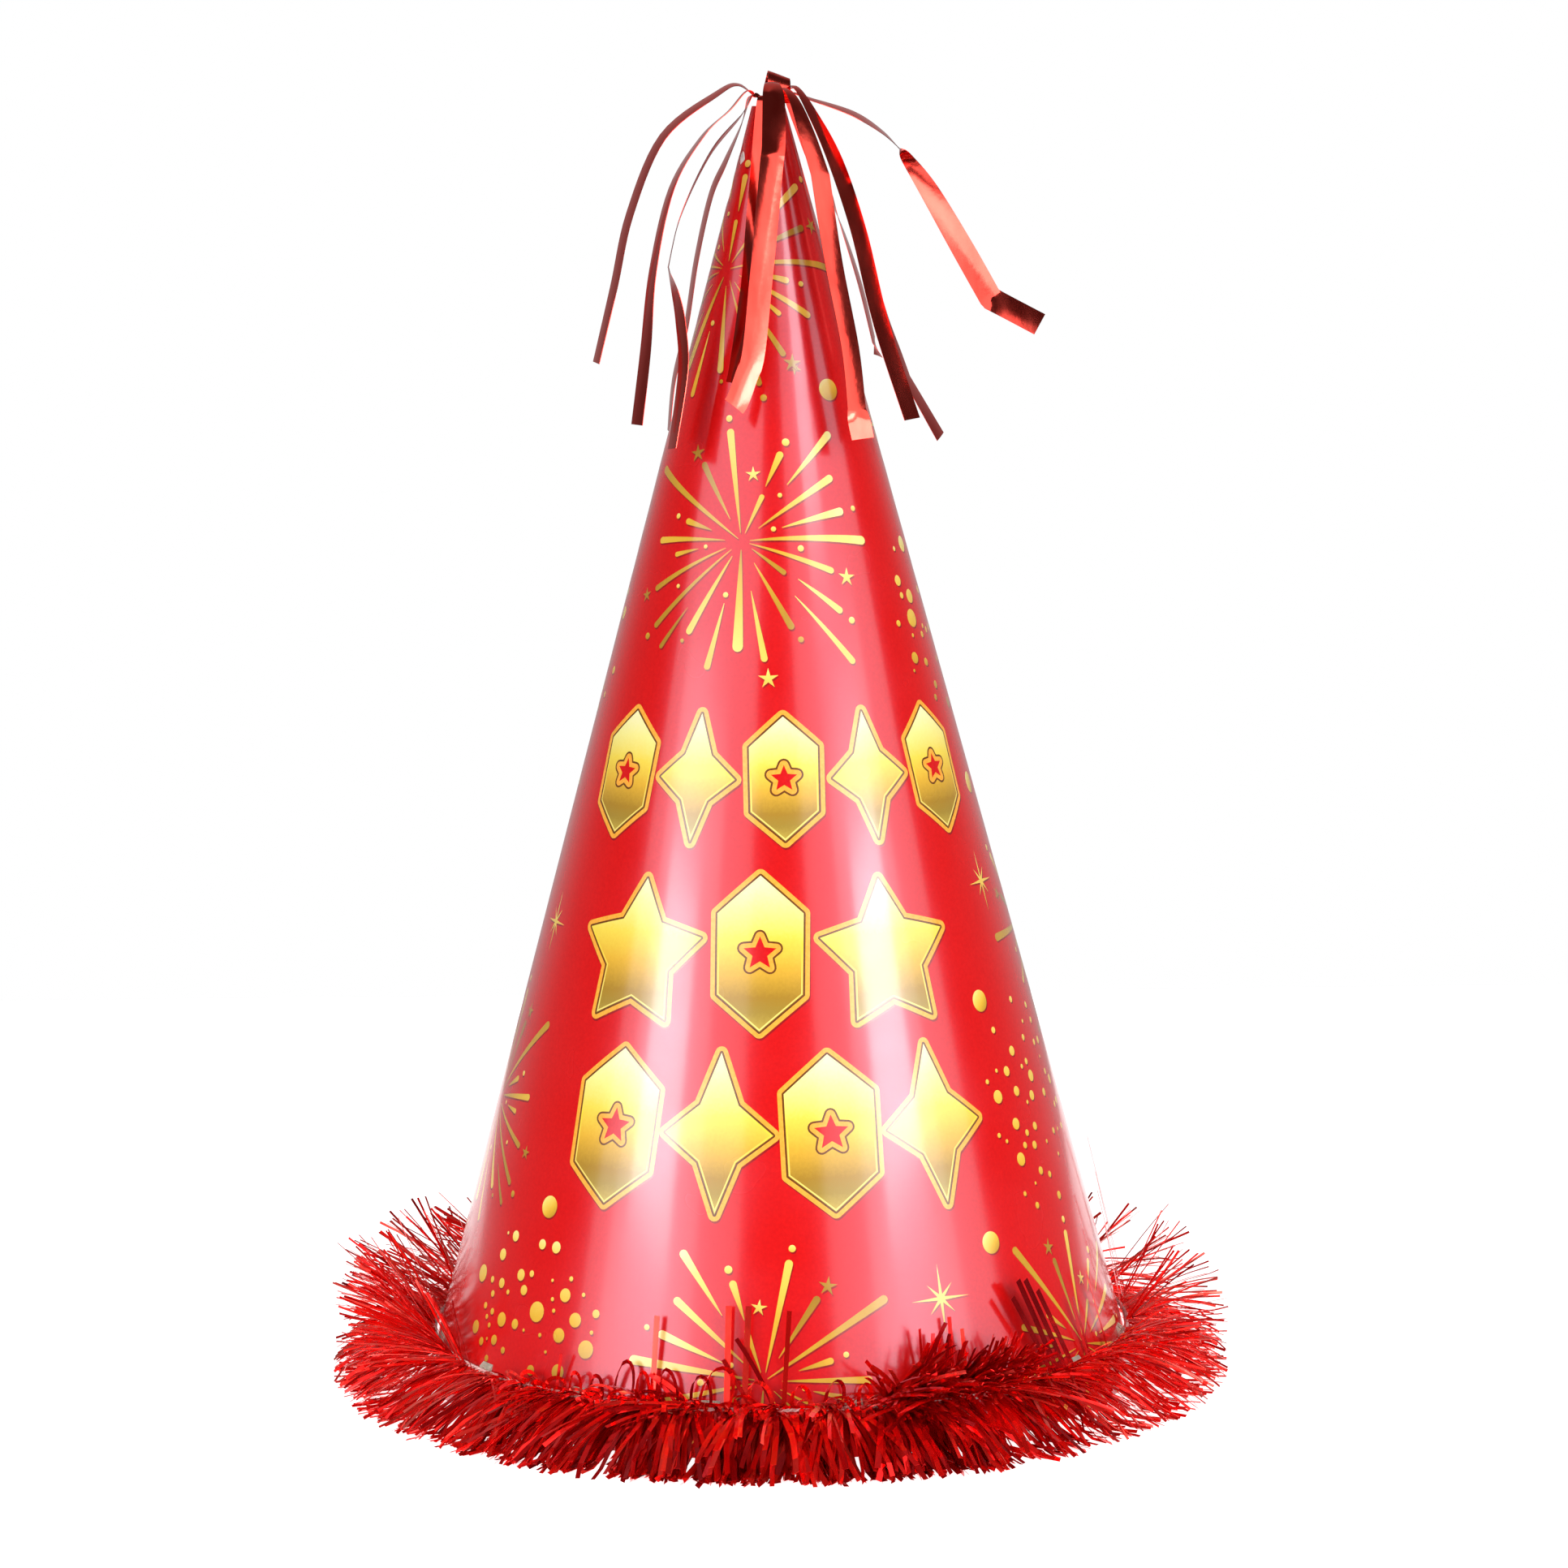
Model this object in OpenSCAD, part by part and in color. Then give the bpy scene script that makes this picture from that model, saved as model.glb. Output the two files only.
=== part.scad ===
// New year party hat: a rolled card cone with a tinsel garland round its brim
// and a tassel of six foil ribbons, folded in half, held in its open tip.
// Millimetres, +Z up. The origin is the centre of the brim, on the table.

/* [Cone] */
// Height of the card cone, from brim to tip
cone_h = 304; // [280:1:330]
// Outer radius of the cone at the brim
brim_r = 86; // [80:0.5:92]
// Outer radius of the open tip
tip_r = 3.9; // [3.6:0.1:4.5]
// Thickness of the card
card_t = 0.4; // [0.3:0.05:0.6]
// Angle that the glued lap covers at the back of the cone
lap_deg = 6.5; // [4:0.5:10]

/* [Tinsel] */
// Height of the garland's core thread above the table
core_z = 11; // [8:0.5:14]
// Radius of the core thread
core_r = 0.6; // [0.4:0.1:0.8]
// Radius that the fringe reaches on the table
fringe_r = 108; // [100:1:112]
// Number of glue dots that hold the garland
dot_count = 16; // [12:4:24]

/* [Tassel] */
// Width of a foil ribbon
ribbon_w = 5.5; // [4:0.5:6]
// Thickness that a ribbon is given, thicker than real foil
ribbon_t = 0.3; // [0.2:0.05:0.4]
// Height of the ribbon loop above the tip of the cone
loop_rise = 8; // [6:0.5:10]
// Radius of the gathered bundle of ribbons inside the tip
bundle_r = 2.2; // [1.8:0.1:2.4]

/* [Hidden] */
streamer_names = ["streamer_01", "streamer_02", "streamer_03", "streamer_04", "streamer_05",
                  "streamer_06", "streamer_07", "streamer_08", "streamer_09", "streamer_10",
                  "streamer_11", "streamer_12"];

$fn = 96;
slope = (brim_r - tip_r) / cone_h;      // how much the radius shrinks per mm of height
card_x = card_t * sqrt(1 + slope * slope); // the card's thickness, measured level
glue_t = 0.1;                           // thickness of the glue in the lap
join_deg = 0.8;                         // the step where the card climbs on to itself
back = 90;                              // angle of +Y, the back of the hat

function cone_r(z) = brim_r - slope * z;

// Card and glue ------------------------------------------------------------

// A band of the cone's wall between two level distances outside its surface
module wall_profile(inner, outer) {
    polygon([[cone_r(0) + inner, 0], [cone_r(0) + outer, 0],
             [cone_r(cone_h) + outer, cone_h], [cone_r(cone_h) + inner, cone_h]]);
}

module wall_sector(start, turn, inner, outer) {
    rotate([0, 0, start]) rotate_extrude(angle = turn) wall_profile(inner, outer);
}

module cone_shell() {
    color("firebrick") {
        rotate_extrude() wall_profile(-card_x, 0);
        wall_sector(back - lap_deg / 2, lap_deg, glue_t, glue_t + card_x);
        wall_sector(back + lap_deg / 2 - join_deg, join_deg, -card_x / 2, glue_t + card_x);
    }
}

module seam_glue_strip() {
    color("ivory") wall_sector(back - lap_deg / 2, lap_deg - join_deg, 0, glue_t);
}

// Tinsel garland -------------------------------------------------------------

core_gap = 0.6;   // room between the core thread and the card, for the lap
core_ring_r = cone_r(core_z) + (core_gap + core_r) * sqrt(1 + slope * slope);
fringe_gap = 0.15; // room between the thread and the plain fringe solid
dot_r = 1.6;      // half the height of a glue dot
dot_deg = 3;

module core_profile() {
    translate([core_ring_r, core_z]) circle(r = core_r, $fn = 24);
}

module tinsel_core() {
    color("indianred") rotate_extrude() core_profile();
}

// The strands fan out from the thread, over the brim and down to the table
module tinsel_fringe() {
    inner = core_ring_r + core_r + fringe_gap;
    color("crimson") rotate_extrude()
        polygon([[inner, core_z - 2], [brim_r + 1.5, 0], [fringe_r - 2, 0], [fringe_r, 2],
                 [fringe_r - 3, 6], [fringe_r - 11, 11], [inner + 2, core_z + 4],
                 [inner, core_z + 3]]);
}

// Each dot fills the gap between the card and the inner side of the thread
module brim_glue_dots() {
    step = 360 / dot_count;
    low = core_z - dot_r;
    high = core_z + dot_r;
    edge = core_ring_r - core_r;
    color("ivory") for (i = [0 : dot_count - 1])
        rotate([0, 0, back + (i + 0.5) * step - dot_deg / 2]) rotate_extrude(angle = dot_deg)
            polygon([[cone_r(low), low], [edge, low + 0.9], [edge, high - 0.9],
                     [cone_r(high), high]]);
}

// Tassel ---------------------------------------------------------------------

bundle_low = cone_h - 20;
bundle_top = cone_h + 2;
tie_z = cone_h - 12;
tie_r = 0.5;
plug_low = cone_h - 9;
plug_top = cone_h - 2;

module ribbon_bundle() {
    color("maroon") translate([0, 0, bundle_low])
        cylinder(r = bundle_r, h = bundle_top - bundle_low, $fn = 48);
}

module bundle_tie() {
    color("silver") rotate_extrude()
        difference() {
            translate([bundle_r + tie_r / 2, tie_z]) circle(r = tie_r, $fn = 24);
            translate([0, tie_z - 2]) square([bundle_r, 4]);
        }
}

module tip_glue_plug() {
    color("ivory") rotate_extrude()
        polygon([[bundle_r, plug_low], [cone_r(plug_low) - card_x, plug_low],
                 [cone_r(plug_top) - card_x, plug_top], [bundle_r, plug_top]]);
}

loop_w = 2.6;

// The fold of one ribbon, standing on the bundle
module ribbon_loop() {
    rise = loop_rise - (bundle_top - cone_h);
    color("maroon") translate([0, loop_w / 2, bundle_top]) rotate([90, 0, 0])
        linear_extrude(loop_w)
            difference() {
                loop_outline(rise, 0);
                loop_outline(rise, ribbon_t);
            }
}

module loop_outline(rise, inset) {
    half = 1.7 - inset;
    translate([-half, 0]) square([2 * half, rise - 1.7]);
    translate([0, rise - 1.7]) circle(r = half, $fn = 32);
}

// Streamers --------------------------------------------------------------------
// Each tail leaves the bundle at the same height, arches over the rim of the tip
// and hangs in its own upright plane, so that no two tails cross as they swing.

root_r = 3.0;              // distance of every root from the middle of the tassel
root_z = cone_h + 2;       // height of every root
pinch = 0.32;              // a tail's width for each mm from the middle, until it is full
steps_per_span = 3;        // rings of the swept tail between two of its route's points

// Direction of each tail, in degrees from the front, towards +X
tail_turn = [-90, -66, -43, -116, 8, -21, 38, 60, 131, 105, 82, 172];

// How far each tail strays sideways by its end
tail_drift = [0, 0, 0, 0, -13, 0, 0, 0, 0, 0, 0, 0];

// The route of each tail after its root: distance from the middle, height below the tip
tail_route = [
    [[7, -5], [12, -3], [25, 7], [33, 25], [37, 42], [41.5, 60]],
    [[5.5, -3.5], [10, 1], [17, 7], [25, 19], [30.5, 38], [32.5, 57], [33, 74]],
    [[5.5, -2.5], [9, 2], [20, 11], [30, 25], [34.5, 37], [30, 50], [29.5, 61], [34, 79]],
    [[5, -2], [7, 4], [11.5, 13], [15.5, 21], [19.5, 36], [22.5, 52], [26, 65], [27.5, 77]],
    [[6, -5], [9.5, 0], [12.5, 11], [19, 29], [25, 46], [28.5, 59], [31, 69]],
    [[5, -1.8], [7, 4], [10, 14], [14.5, 29], [19, 44], [21.8, 54], [24, 64]],
    [[6, -4], [10, 1], [16, 13], [24, 38], [30, 56], [33, 71], [32.5, 77]],
    [[7, -4.5], [12, 2], [18, 13], [24, 29], [28.5, 46], [32, 57], [38, 73]],
    [[5.5, -3], [9.5, 4], [15, 14], [22, 27], [28.5, 42], [33, 56], [34, 60]],
    [[6.5, -4], [12, 4], [18.5, 18], [24, 36], [28, 50], [31.5, 59], [37, 69], [42, 79]],
    [[5.5, -3], [10, -1.5], [20, 2], [27, 6], [31.5, 10.5], [42, 23], [47, 32], [53, 46],
     [64, 52]],
    [[6, -4], [10, 1], [16, 14], [22, 31], [27, 48], [31, 72]]
];

function route_points(i) =
    concat([[root_r, root_z]], [for (p = tail_route[i]) [p[0], cone_h - p[1]]]);

// Catmull-Rom: a point at fraction t of the span from b to c
function between(a, b, c, d, t) =
    0.5 * ((2 * b) + (c - a) * t + (2 * a - 5 * b + 4 * c - d) * t * t
           + (3 * b - a - 3 * c + d) * t * t * t);

function smooth(points) =
    let (last = len(points) - 1)
    concat([for (i = [0 : last - 1]) for (k = [0 : steps_per_span - 1])
                between(points[max(i - 1, 0)], points[i], points[i + 1],
                        points[min(i + 2, last)], k / steps_per_span)],
           [points[last]]);

// The four corners of the tail's section at point k of its path
function ring(path, k, drift) =
    let (last = len(path) - 1,
         ahead = path[min(k + 1, last)] - path[max(k - 1, 0)],
         up = [-ahead[1], ahead[0]] / norm(ahead) * ribbon_t / 2,
         half = min(ribbon_w, pinch * path[k][0]) / 2,
         side = drift * pow(k / last, 3),
         top = path[k] + up, under = path[k] - up)
    [[top[0], side - half, top[1]], [top[0], side + half, top[1]],
     [under[0], side + half, under[1]], [under[0], side - half, under[1]]];

module swept(rings) {
    n = len(rings);
    sides = [for (k = [0 : n - 2]) for (j = [0 : 3])
                 let (a = 4 * k + j, b = 4 * k + (j + 1) % 4)
                 each [[a, b, b + 4], [a, b + 4, a + 4]]];
    ends = [[3, 2, 1], [3, 1, 0], [4 * n - 4, 4 * n - 3, 4 * n - 2],
            [4 * n - 4, 4 * n - 2, 4 * n - 1]];
    polyhedron(points = [for (r = rings) each r], faces = concat(sides, ends));
}

module streamer(i) {
    path = smooth(route_points(i));
    color(i % 2 == 0 ? "firebrick" : "darkred")
        rotate([0, 0, tail_turn[i] - 90])
            swept([for (k = [0 : len(path) - 1]) ring(path, k, tail_drift[i])]);
}

cone_shell();
seam_glue_strip();
tinsel_core();
tinsel_fringe();
brim_glue_dots();
ribbon_bundle();
bundle_tie();
tip_glue_plug();
ribbon_loop();
for (i = [0 : len(streamer_names) - 1])
    streamer(i);
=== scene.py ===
# %% [markdown]
# # A new year party hat in card, tinsel and foil ribbon
# The hat is a printed card cone with a tinsel garland glued round its brim and a tassel
# of foil ribbons in its open tip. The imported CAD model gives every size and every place.
# We load it first and then build the finished surfaces around it, one material at a time.

# %% Load the frame
import math
import random

import bpy
import numpy as np
from mathutils import Matrix, Vector
from mathutils.geometry import delaunay_2d_cdt


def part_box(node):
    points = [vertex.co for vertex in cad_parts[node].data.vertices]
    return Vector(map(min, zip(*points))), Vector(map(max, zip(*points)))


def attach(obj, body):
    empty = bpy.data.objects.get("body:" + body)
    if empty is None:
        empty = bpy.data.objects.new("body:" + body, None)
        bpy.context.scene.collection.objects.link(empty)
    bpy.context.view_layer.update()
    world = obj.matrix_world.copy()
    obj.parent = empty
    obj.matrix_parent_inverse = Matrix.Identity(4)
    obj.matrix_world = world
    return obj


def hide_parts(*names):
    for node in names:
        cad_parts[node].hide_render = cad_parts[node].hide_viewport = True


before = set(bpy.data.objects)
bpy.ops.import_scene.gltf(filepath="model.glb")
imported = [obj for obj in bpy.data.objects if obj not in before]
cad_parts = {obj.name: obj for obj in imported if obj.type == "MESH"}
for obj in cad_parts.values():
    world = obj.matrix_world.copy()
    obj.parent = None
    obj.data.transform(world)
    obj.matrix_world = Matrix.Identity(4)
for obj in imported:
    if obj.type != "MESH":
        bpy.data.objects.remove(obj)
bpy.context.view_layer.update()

MM = 0.001

# %% Read the hat's main sizes from the frame
cone_low, cone_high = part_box("cone_shell")
core_low, core_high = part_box("tinsel_core")
fringe_low, fringe_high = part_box("tinsel_fringe")
CONE_H = cone_high.z / MM
BRIM_R = cone_high.x / MM
TIP_R = 3.9      # radius of the open tip, which no box in the frame gives
SLOPE = (BRIM_R - TIP_R) / CONE_H
TILT = math.atan(SLOPE)
APEX = BRIM_R / SLOPE
CORE_Z = (core_low.z + core_high.z) / 2 / MM
CORE_R = (core_high.z - core_low.z) / 2 / MM
CORE_RING_R = core_high.x / MM - CORE_R
FRINGE_R = fringe_high.x / MM
print(f"cone {CONE_H:.0f} mm tall and {2 * BRIM_R:.0f} mm across")
print(f"its wall is tilted by {math.degrees(TILT):.1f} degrees")
print(f"garland thread at radius {CORE_RING_R:.1f} mm, fringe out to {FRINGE_R:.0f} mm")

# %% Put a finished mesh into the scene
def add_piece(name, mesh, body, slot_name, *nodes_replaced):
    """Makes a piece that rides on a body and stands in for the CAD nodes named."""
    piece = bpy.data.objects.new(name, mesh)
    bpy.context.scene.collection.objects.link(piece)
    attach(piece, body)
    if nodes_replaced:
        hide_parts(*nodes_replaced)
    return piece


print("ready for pieces on", len(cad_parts), "CAD nodes")

# %% [markdown]
# ## The camera
# The hat is seen from about a metre away through a short telephoto lens, so that the
# cone's sides stay straight. The camera stands nearly as high as the tip and looks
# down a little, which opens the brim into an ellipse. We write its place as one matrix:
# first roll the camera about its own axis, then tip it, then turn it, then carry it back.

# %% Stand the camera in front of the hat
camera_data = bpy.data.cameras.new("camera")
camera_data.sensor_width = 36
camera_data.lens = 105.97
camera = bpy.data.objects.new("camera", camera_data)
camera.matrix_world = (Matrix.Translation((0, -1.1, 0.2925))
                       @ Matrix.Rotation(math.radians(-0.11), 4, "Z")
                       @ Matrix.Rotation(math.radians(90 - 7.76), 4, "X")
                       @ Matrix.Rotation(math.radians(-0.57), 4, "Z"))
bpy.context.scene.collection.objects.link(camera)
bpy.context.scene.camera = camera
print("camera lens", camera_data.lens, "mm at", tuple(round(v, 3) for v in camera.location))

# %% [markdown]
# ## Helpers for finishes
# Every finish starts as the same shader with a few nodes in front of it. Patterns are
# measured in the hat's own space, in metres, so a grain of 1 mm needs a scale near 1000.
# We write small functions for the three things every finish needs: a grain, a range of
# colours that follows it, and a relief.

# %% Start a finish and lay a grain over it
def new_finish(name):
    """Returns the finish, its shader's sockets, its nodes and its links."""
    finish = bpy.data.materials.new(name)
    finish.use_nodes = True
    nodes = finish.node_tree.nodes
    return finish, nodes["Principled BSDF"].inputs, nodes, finish.node_tree.links


def add_grain(nodes, links, scale, detail=2.0, stretch=(1, 1, 1)):
    """A noise pattern in the hat's own space. Returns its strength from 0 to 1."""
    place = nodes.new("ShaderNodeTexCoord")
    mapping = nodes.new("ShaderNodeMapping")
    mapping.inputs["Scale"].default_value = stretch
    noise = nodes.new("ShaderNodeTexNoise")
    noise.inputs["Scale"].default_value = scale
    noise.inputs["Detail"].default_value = detail
    links.new(place.outputs["Object"], mapping.inputs["Vector"])
    links.new(mapping.outputs["Vector"], noise.inputs["Vector"])
    return noise.outputs["Fac"]


def add_colours(nodes, links, amount, stops):
    """Turns a strength into a colour. stops are (strength, (red, green, blue))."""
    ramp = nodes.new("ShaderNodeValToRGB")
    marks = ramp.color_ramp.elements
    while len(marks) < len(stops):
        marks.new(0.5)
    for mark, (place, colour) in zip(marks, stops):
        mark.position = place
        mark.color = (*colour, 1)
    links.new(amount, ramp.inputs["Fac"])
    return ramp.outputs["Color"]


def add_range(nodes, links, amount, low, high, from_low=0.3, from_high=0.7):
    """Stretches a strength to run from low to high."""
    fit = nodes.new("ShaderNodeMapRange")
    fit.inputs["From Min"].default_value = from_low
    fit.inputs["From Max"].default_value = from_high
    fit.inputs["To Min"].default_value = low
    fit.inputs["To Max"].default_value = high
    links.new(amount, fit.inputs["Value"])
    return fit.outputs["Result"]


def add_relief(nodes, links, height, depth, under=None):
    """Dents a surface by up to depth, in metres. under is another relief below it."""
    bump = nodes.new("ShaderNodeBump")
    bump.inputs["Strength"].default_value = 1.0
    bump.inputs["Distance"].default_value = depth
    links.new(height, bump.inputs["Height"])
    if under is not None:
        links.new(under, bump.inputs["Normal"])
    return bump.outputs["Normal"]


# %% [markdown]
# ## Ink on laminated card
# Party hats are offset printed and then covered with a clear glossy film. All the inks so
# share one gloss: the film's, with a slight unevenness that softens the edges of reflected
# lamps. Only the colour below the film changes. Flat inks get the fine mottle of print on
# board. The golds are not metal but painted blends, so they follow a number that each
# shape stores at its corners, called tone: 0 is its darkest gold and 1 its palest yellow.

# %% Mix the inks
def laminated_ink(name, stops, follows_tone=False):
    ink, shader, nodes, links = new_finish(name)
    mottle = add_grain(nodes, links, 1400, 3)
    if follows_tone:
        tone = nodes.new("ShaderNodeAttribute")
        tone.attribute_name = "tone"
        jitter = add_range(nodes, links, mottle, -0.015, 0.015)
        add = nodes.new("ShaderNodeMath")
        add.operation = "ADD"
        add.use_clamp = True
        links.new(tone.outputs["Fac"], add.inputs[0])
        links.new(jitter, add.inputs[1])
        colour = add_colours(nodes, links, add.outputs["Value"], stops)
    else:
        colour = add_colours(nodes, links, mottle, stops)
    links.new(colour, shader["Base Color"])
    film = add_grain(nodes, links, 60, 2)
    links.new(add_range(nodes, links, film, 0.20, 0.28), shader["Roughness"])
    waves = add_relief(nodes, links, add_grain(nodes, links, 45, 1), 0.00006)
    peel = add_relief(nodes, links, add_grain(nodes, links, 700, 2), 0.000012, waves)
    links.new(peel, shader["Normal"])
    shader["IOR"].default_value = 1.5
    shader["Coat Weight"].default_value = 0.7
    shader["Coat Roughness"].default_value = 0.12
    shader["Coat IOR"].default_value = 1.5
    return ink


red_ink = laminated_ink("red_ink", [(0.3, (0.47, 0.002, 0.002)), (0.7, (0.54, 0.004, 0.003))])
red_ink.node_tree.nodes["Principled BSDF"].inputs["Specular Tint"].default_value = (1.0, 0.7, 1.0, 1)
shade_ink = laminated_ink("shade_ink", [(0.3, (0.20, 0.002, 0.004)), (0.7, (0.27, 0.003, 0.006))])
line_ink = laminated_ink("line_ink", [(0.3, (0.10, 0.028, 0.004)), (0.7, (0.15, 0.045, 0.008))])
border_ink = laminated_ink("border_ink", [(0.3, (0.66, 0.28, 0.025)), (0.7, (0.78, 0.35, 0.045))])
small_gold_ink = laminated_ink("small_gold_ink", [
    (0.0, (0.22, 0.11, 0.012)), (0.35, (0.38, 0.20, 0.016)), (0.6, (0.62, 0.36, 0.03)),
    (0.85, (0.72, 0.52, 0.10)), (1.0, (0.74, 0.66, 0.24))], follows_tone=True)
big_gold_ink = laminated_ink("big_gold_ink", [
    (0.0, (0.42, 0.30, 0.05)), (0.12, (0.29, 0.185, 0.025)), (0.22, (0.31, 0.17, 0.016)),
    (0.42, (0.60, 0.34, 0.03)), (0.60, (0.70, 0.52, 0.06)), (0.80, (0.73, 0.66, 0.22)),
    (1.0, (0.74, 0.70, 0.42))], follows_tone=True)
gleam_ink = laminated_ink("gleam_ink", [
    (0.0, (0.70, 0.58, 0.16)), (0.35, (0.68, 0.50, 0.08)), (0.55, (0.70, 0.52, 0.03)),
    (1.0, (0.76, 0.74, 0.36))], follows_tone=True)
INKS = [red_ink, shade_ink, line_ink, border_ink, small_gold_ink, big_gold_ink, gleam_ink]
RED, SHADE, LINE, BORDER, SMALL_GOLD, BIG_GOLD, GLEAM, BOARD = range(8)
print(len(INKS), "inks under one film")

# %% Make the bare board for the inside and the cut edges
board, shader, nodes, links = new_finish("bare_board")
pulp = add_grain(nodes, links, 500, 5)
links.new(add_colours(nodes, links, pulp, [(0.3, (0.55, 0.53, 0.50)), (0.7, (0.70, 0.69, 0.66))]),
          shader["Base Color"])
links.new(add_relief(nodes, links, pulp, 0.00004), shader["Normal"])
shader["Roughness"].default_value = 0.8
print("bare board ready")

# %% [markdown]
# ## Laying out on the flat sheet
# The printer works on a flat fan of card, so we do too. A point that is turned some degrees
# round the cone lies at a smaller turn on the fan, and the fan's middle is the cone's apex.
# Shapes are drawn round (0, 0) in millimetres and then placed by turn and height. Turn 0 is
# the front and positive turns go to the right.

# %% Place an outline on the fan
FAN_SHARE = math.sin(TILT)
SHADE_DROP = (0.22, -0.42)


def place_on_fan(outline, turn, height, spin=0.0, size=1.0, mirrored=False, shift=(0, 0)):
    distance = (APEX - height) / math.cos(TILT)
    fan_turn = math.radians(turn) * FAN_SHARE
    right = Vector((math.cos(fan_turn), math.sin(fan_turn)))
    up = Vector((-math.sin(fan_turn), math.cos(fan_turn)))
    spin_cos = size * math.cos(math.radians(spin))
    spin_sin = size * math.sin(math.radians(spin))
    side = -1 if mirrored else 1
    placed = []
    for x, y in outline:
        across = side * x * spin_cos - y * spin_sin + shift[0]
        along = side * x * spin_sin + y * spin_cos + shift[1]
        placed.append(right * across + up * (along - distance))
    return placed


print("a full turn of the hat is", round(360 * FAN_SHARE, 1), "degrees on the flat fan")

# %% [markdown]
# ## The shapes of the print
# A ray is a drop with a long thin start and a round head. Discs, stars and sparkles are
# simple polygons. The large motifs are wider stars and lozenges. Each has nested outlines:
# a border, a thin dark line, the fill and a pale gleam just inside it. To grow or shrink
# an outline we move every edge sideways, and round the outward corners as a pen would.

# %% Draw rays, discs, stars and lozenges
def fine_outline(outline, step=2.5):
    """Adds points along long edges, so that the outline bends smoothly round the cone."""
    made = []
    for i, start in enumerate(outline):
        end = outline[(i + 1) % len(outline)]
        count = max(1, math.ceil(math.dist(start, end) / step))
        for k in range(count):
            share = k / count
            made.append((start[0] + (end[0] - start[0]) * share,
                         start[1] + (end[1] - start[1]) * share))
    return made


def ray(angle, start, end, head):
    """A drop from start to end mm from the middle, with a head of that radius."""
    centre = end - head
    side = [(start + (centre - start) * k / 6, head * (0.08 + 0.92 * (k / 6) ** 0.8)) for k in range(6)]
    cap = [(centre + head * math.sin(math.radians(a)), head * math.cos(math.radians(a)))
           for a in range(0, 91, 30)]
    upper = side + cap
    lower = [(x, -y) for x, y in reversed(upper[:-1])]
    turn_cos, turn_sin = math.cos(math.radians(angle)), math.sin(math.radians(angle))
    return [(x * turn_cos - y * turn_sin, x * turn_sin + y * turn_cos)
            for x, y in lower + upper]


def spot(x, y, radius, sides=14):
    return [(x + radius * math.cos(math.tau * k / sides), y + radius * math.sin(math.tau * k / sides))
            for k in range(sides)]


def star(x, y, radius, points=5, waist=0.36, spin=90, tall=1.0):
    corners = []
    for k in range(2 * points):
        reach = radius * (waist if k % 2 else 1)
        angle = math.radians(spin + 180 * k / points)
        corners.append((x + reach * math.cos(angle), y + tall * reach * math.sin(angle)))
    return corners


def sparkle(wide, tall, waist=0.13, slant=0.6):
    """Eight arms: four long ones upright and level, four shorter ones between them."""
    corners = []
    for k in range(16):
        angle = math.tau * k / 16
        reach = waist if k % 2 else (1 if k % 4 == 0 else slant)
        corners.append((wide / 2 * reach * math.cos(angle), tall / 2 * reach * math.sin(angle)))
    return corners


def lozenge(wide, tall, belly=0.52):
    """A six-sided lozenge with long upright sides."""
    w, h = wide / 2, tall / 2
    return [(0, -h), (w, -h * belly), (w, h * belly), (0, h), (-w, h * belly), (-w, -h * belly)]


def resize_outline(outline, amount):
    """Moves every edge outwards by amount mm, or inwards if it is negative."""
    made = []
    count = len(outline)
    for i, here in enumerate(outline):
        before = Vector(here) - Vector(outline[i - 1])
        after = Vector(outline[(i + 1) % count]) - Vector(here)
        out_before = Vector((before.y, -before.x)).normalized()
        out_after = Vector((after.y, -after.x)).normalized()
        middle = (out_before + out_after).normalized()
        outward_corner = before.x * after.y - before.y * after.x > 0
        if amount > 0 and outward_corner:
            start = math.atan2(out_before.y, out_before.x)
            sweep = out_before.angle(out_after)
            for k in range(7):
                angle = start + sweep * k / 6
                made.append((here[0] + amount * math.cos(angle), here[1] + amount * math.sin(angle)))
        else:
            reach = amount / max(0.25, middle.dot(out_before))
            made.append((here[0] + middle.x * reach, here[1] + middle.y * reach))
    return made


# %% Keep a list of everything printed, in printing order
printed = []


def print_shape(outline, ink, tone_line, tones, **place):
    """Adds a shape. Its tone runs along tone_line, two points, between the two tones."""
    flat = place_on_fan(fine_outline(outline), **place)
    low, high = place_on_fan(tone_line, **place)
    area = sum(flat[i - 1].cross(flat[i]) for i in range(len(flat)))
    if area < 0:
        flat.reverse()
    printed.append({"flat": flat, "ink": ink, "low": low, "high": high, "tones": tones})


def print_gold(shapes, turn, height, spin=0.0, size=1.0, mirrored=False):
    """Prints small gold shapes, (outline, tone line, tones), each over its soft shade."""
    place = {"turn": turn, "height": height, "spin": spin, "size": size, "mirrored": mirrored}
    for outline, tone_line, tones in shapes:
        print_shape(outline, SHADE, tone_line, (0, 0), shift=SHADE_DROP, **place)
    for outline, tone_line, tones in shapes:
        print_shape(outline, SMALL_GOLD, tone_line, tones, **place)


# %% [markdown]
# ## The firework
# One firework is drawn once and printed several times, turned and mirrored, as a designer
# would reuse it. Its rays have different lengths and start away from the middle, with
# dots and little stars beyond them. Neighbouring rays differ in tone, which makes the
# flat print glitter.

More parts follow.
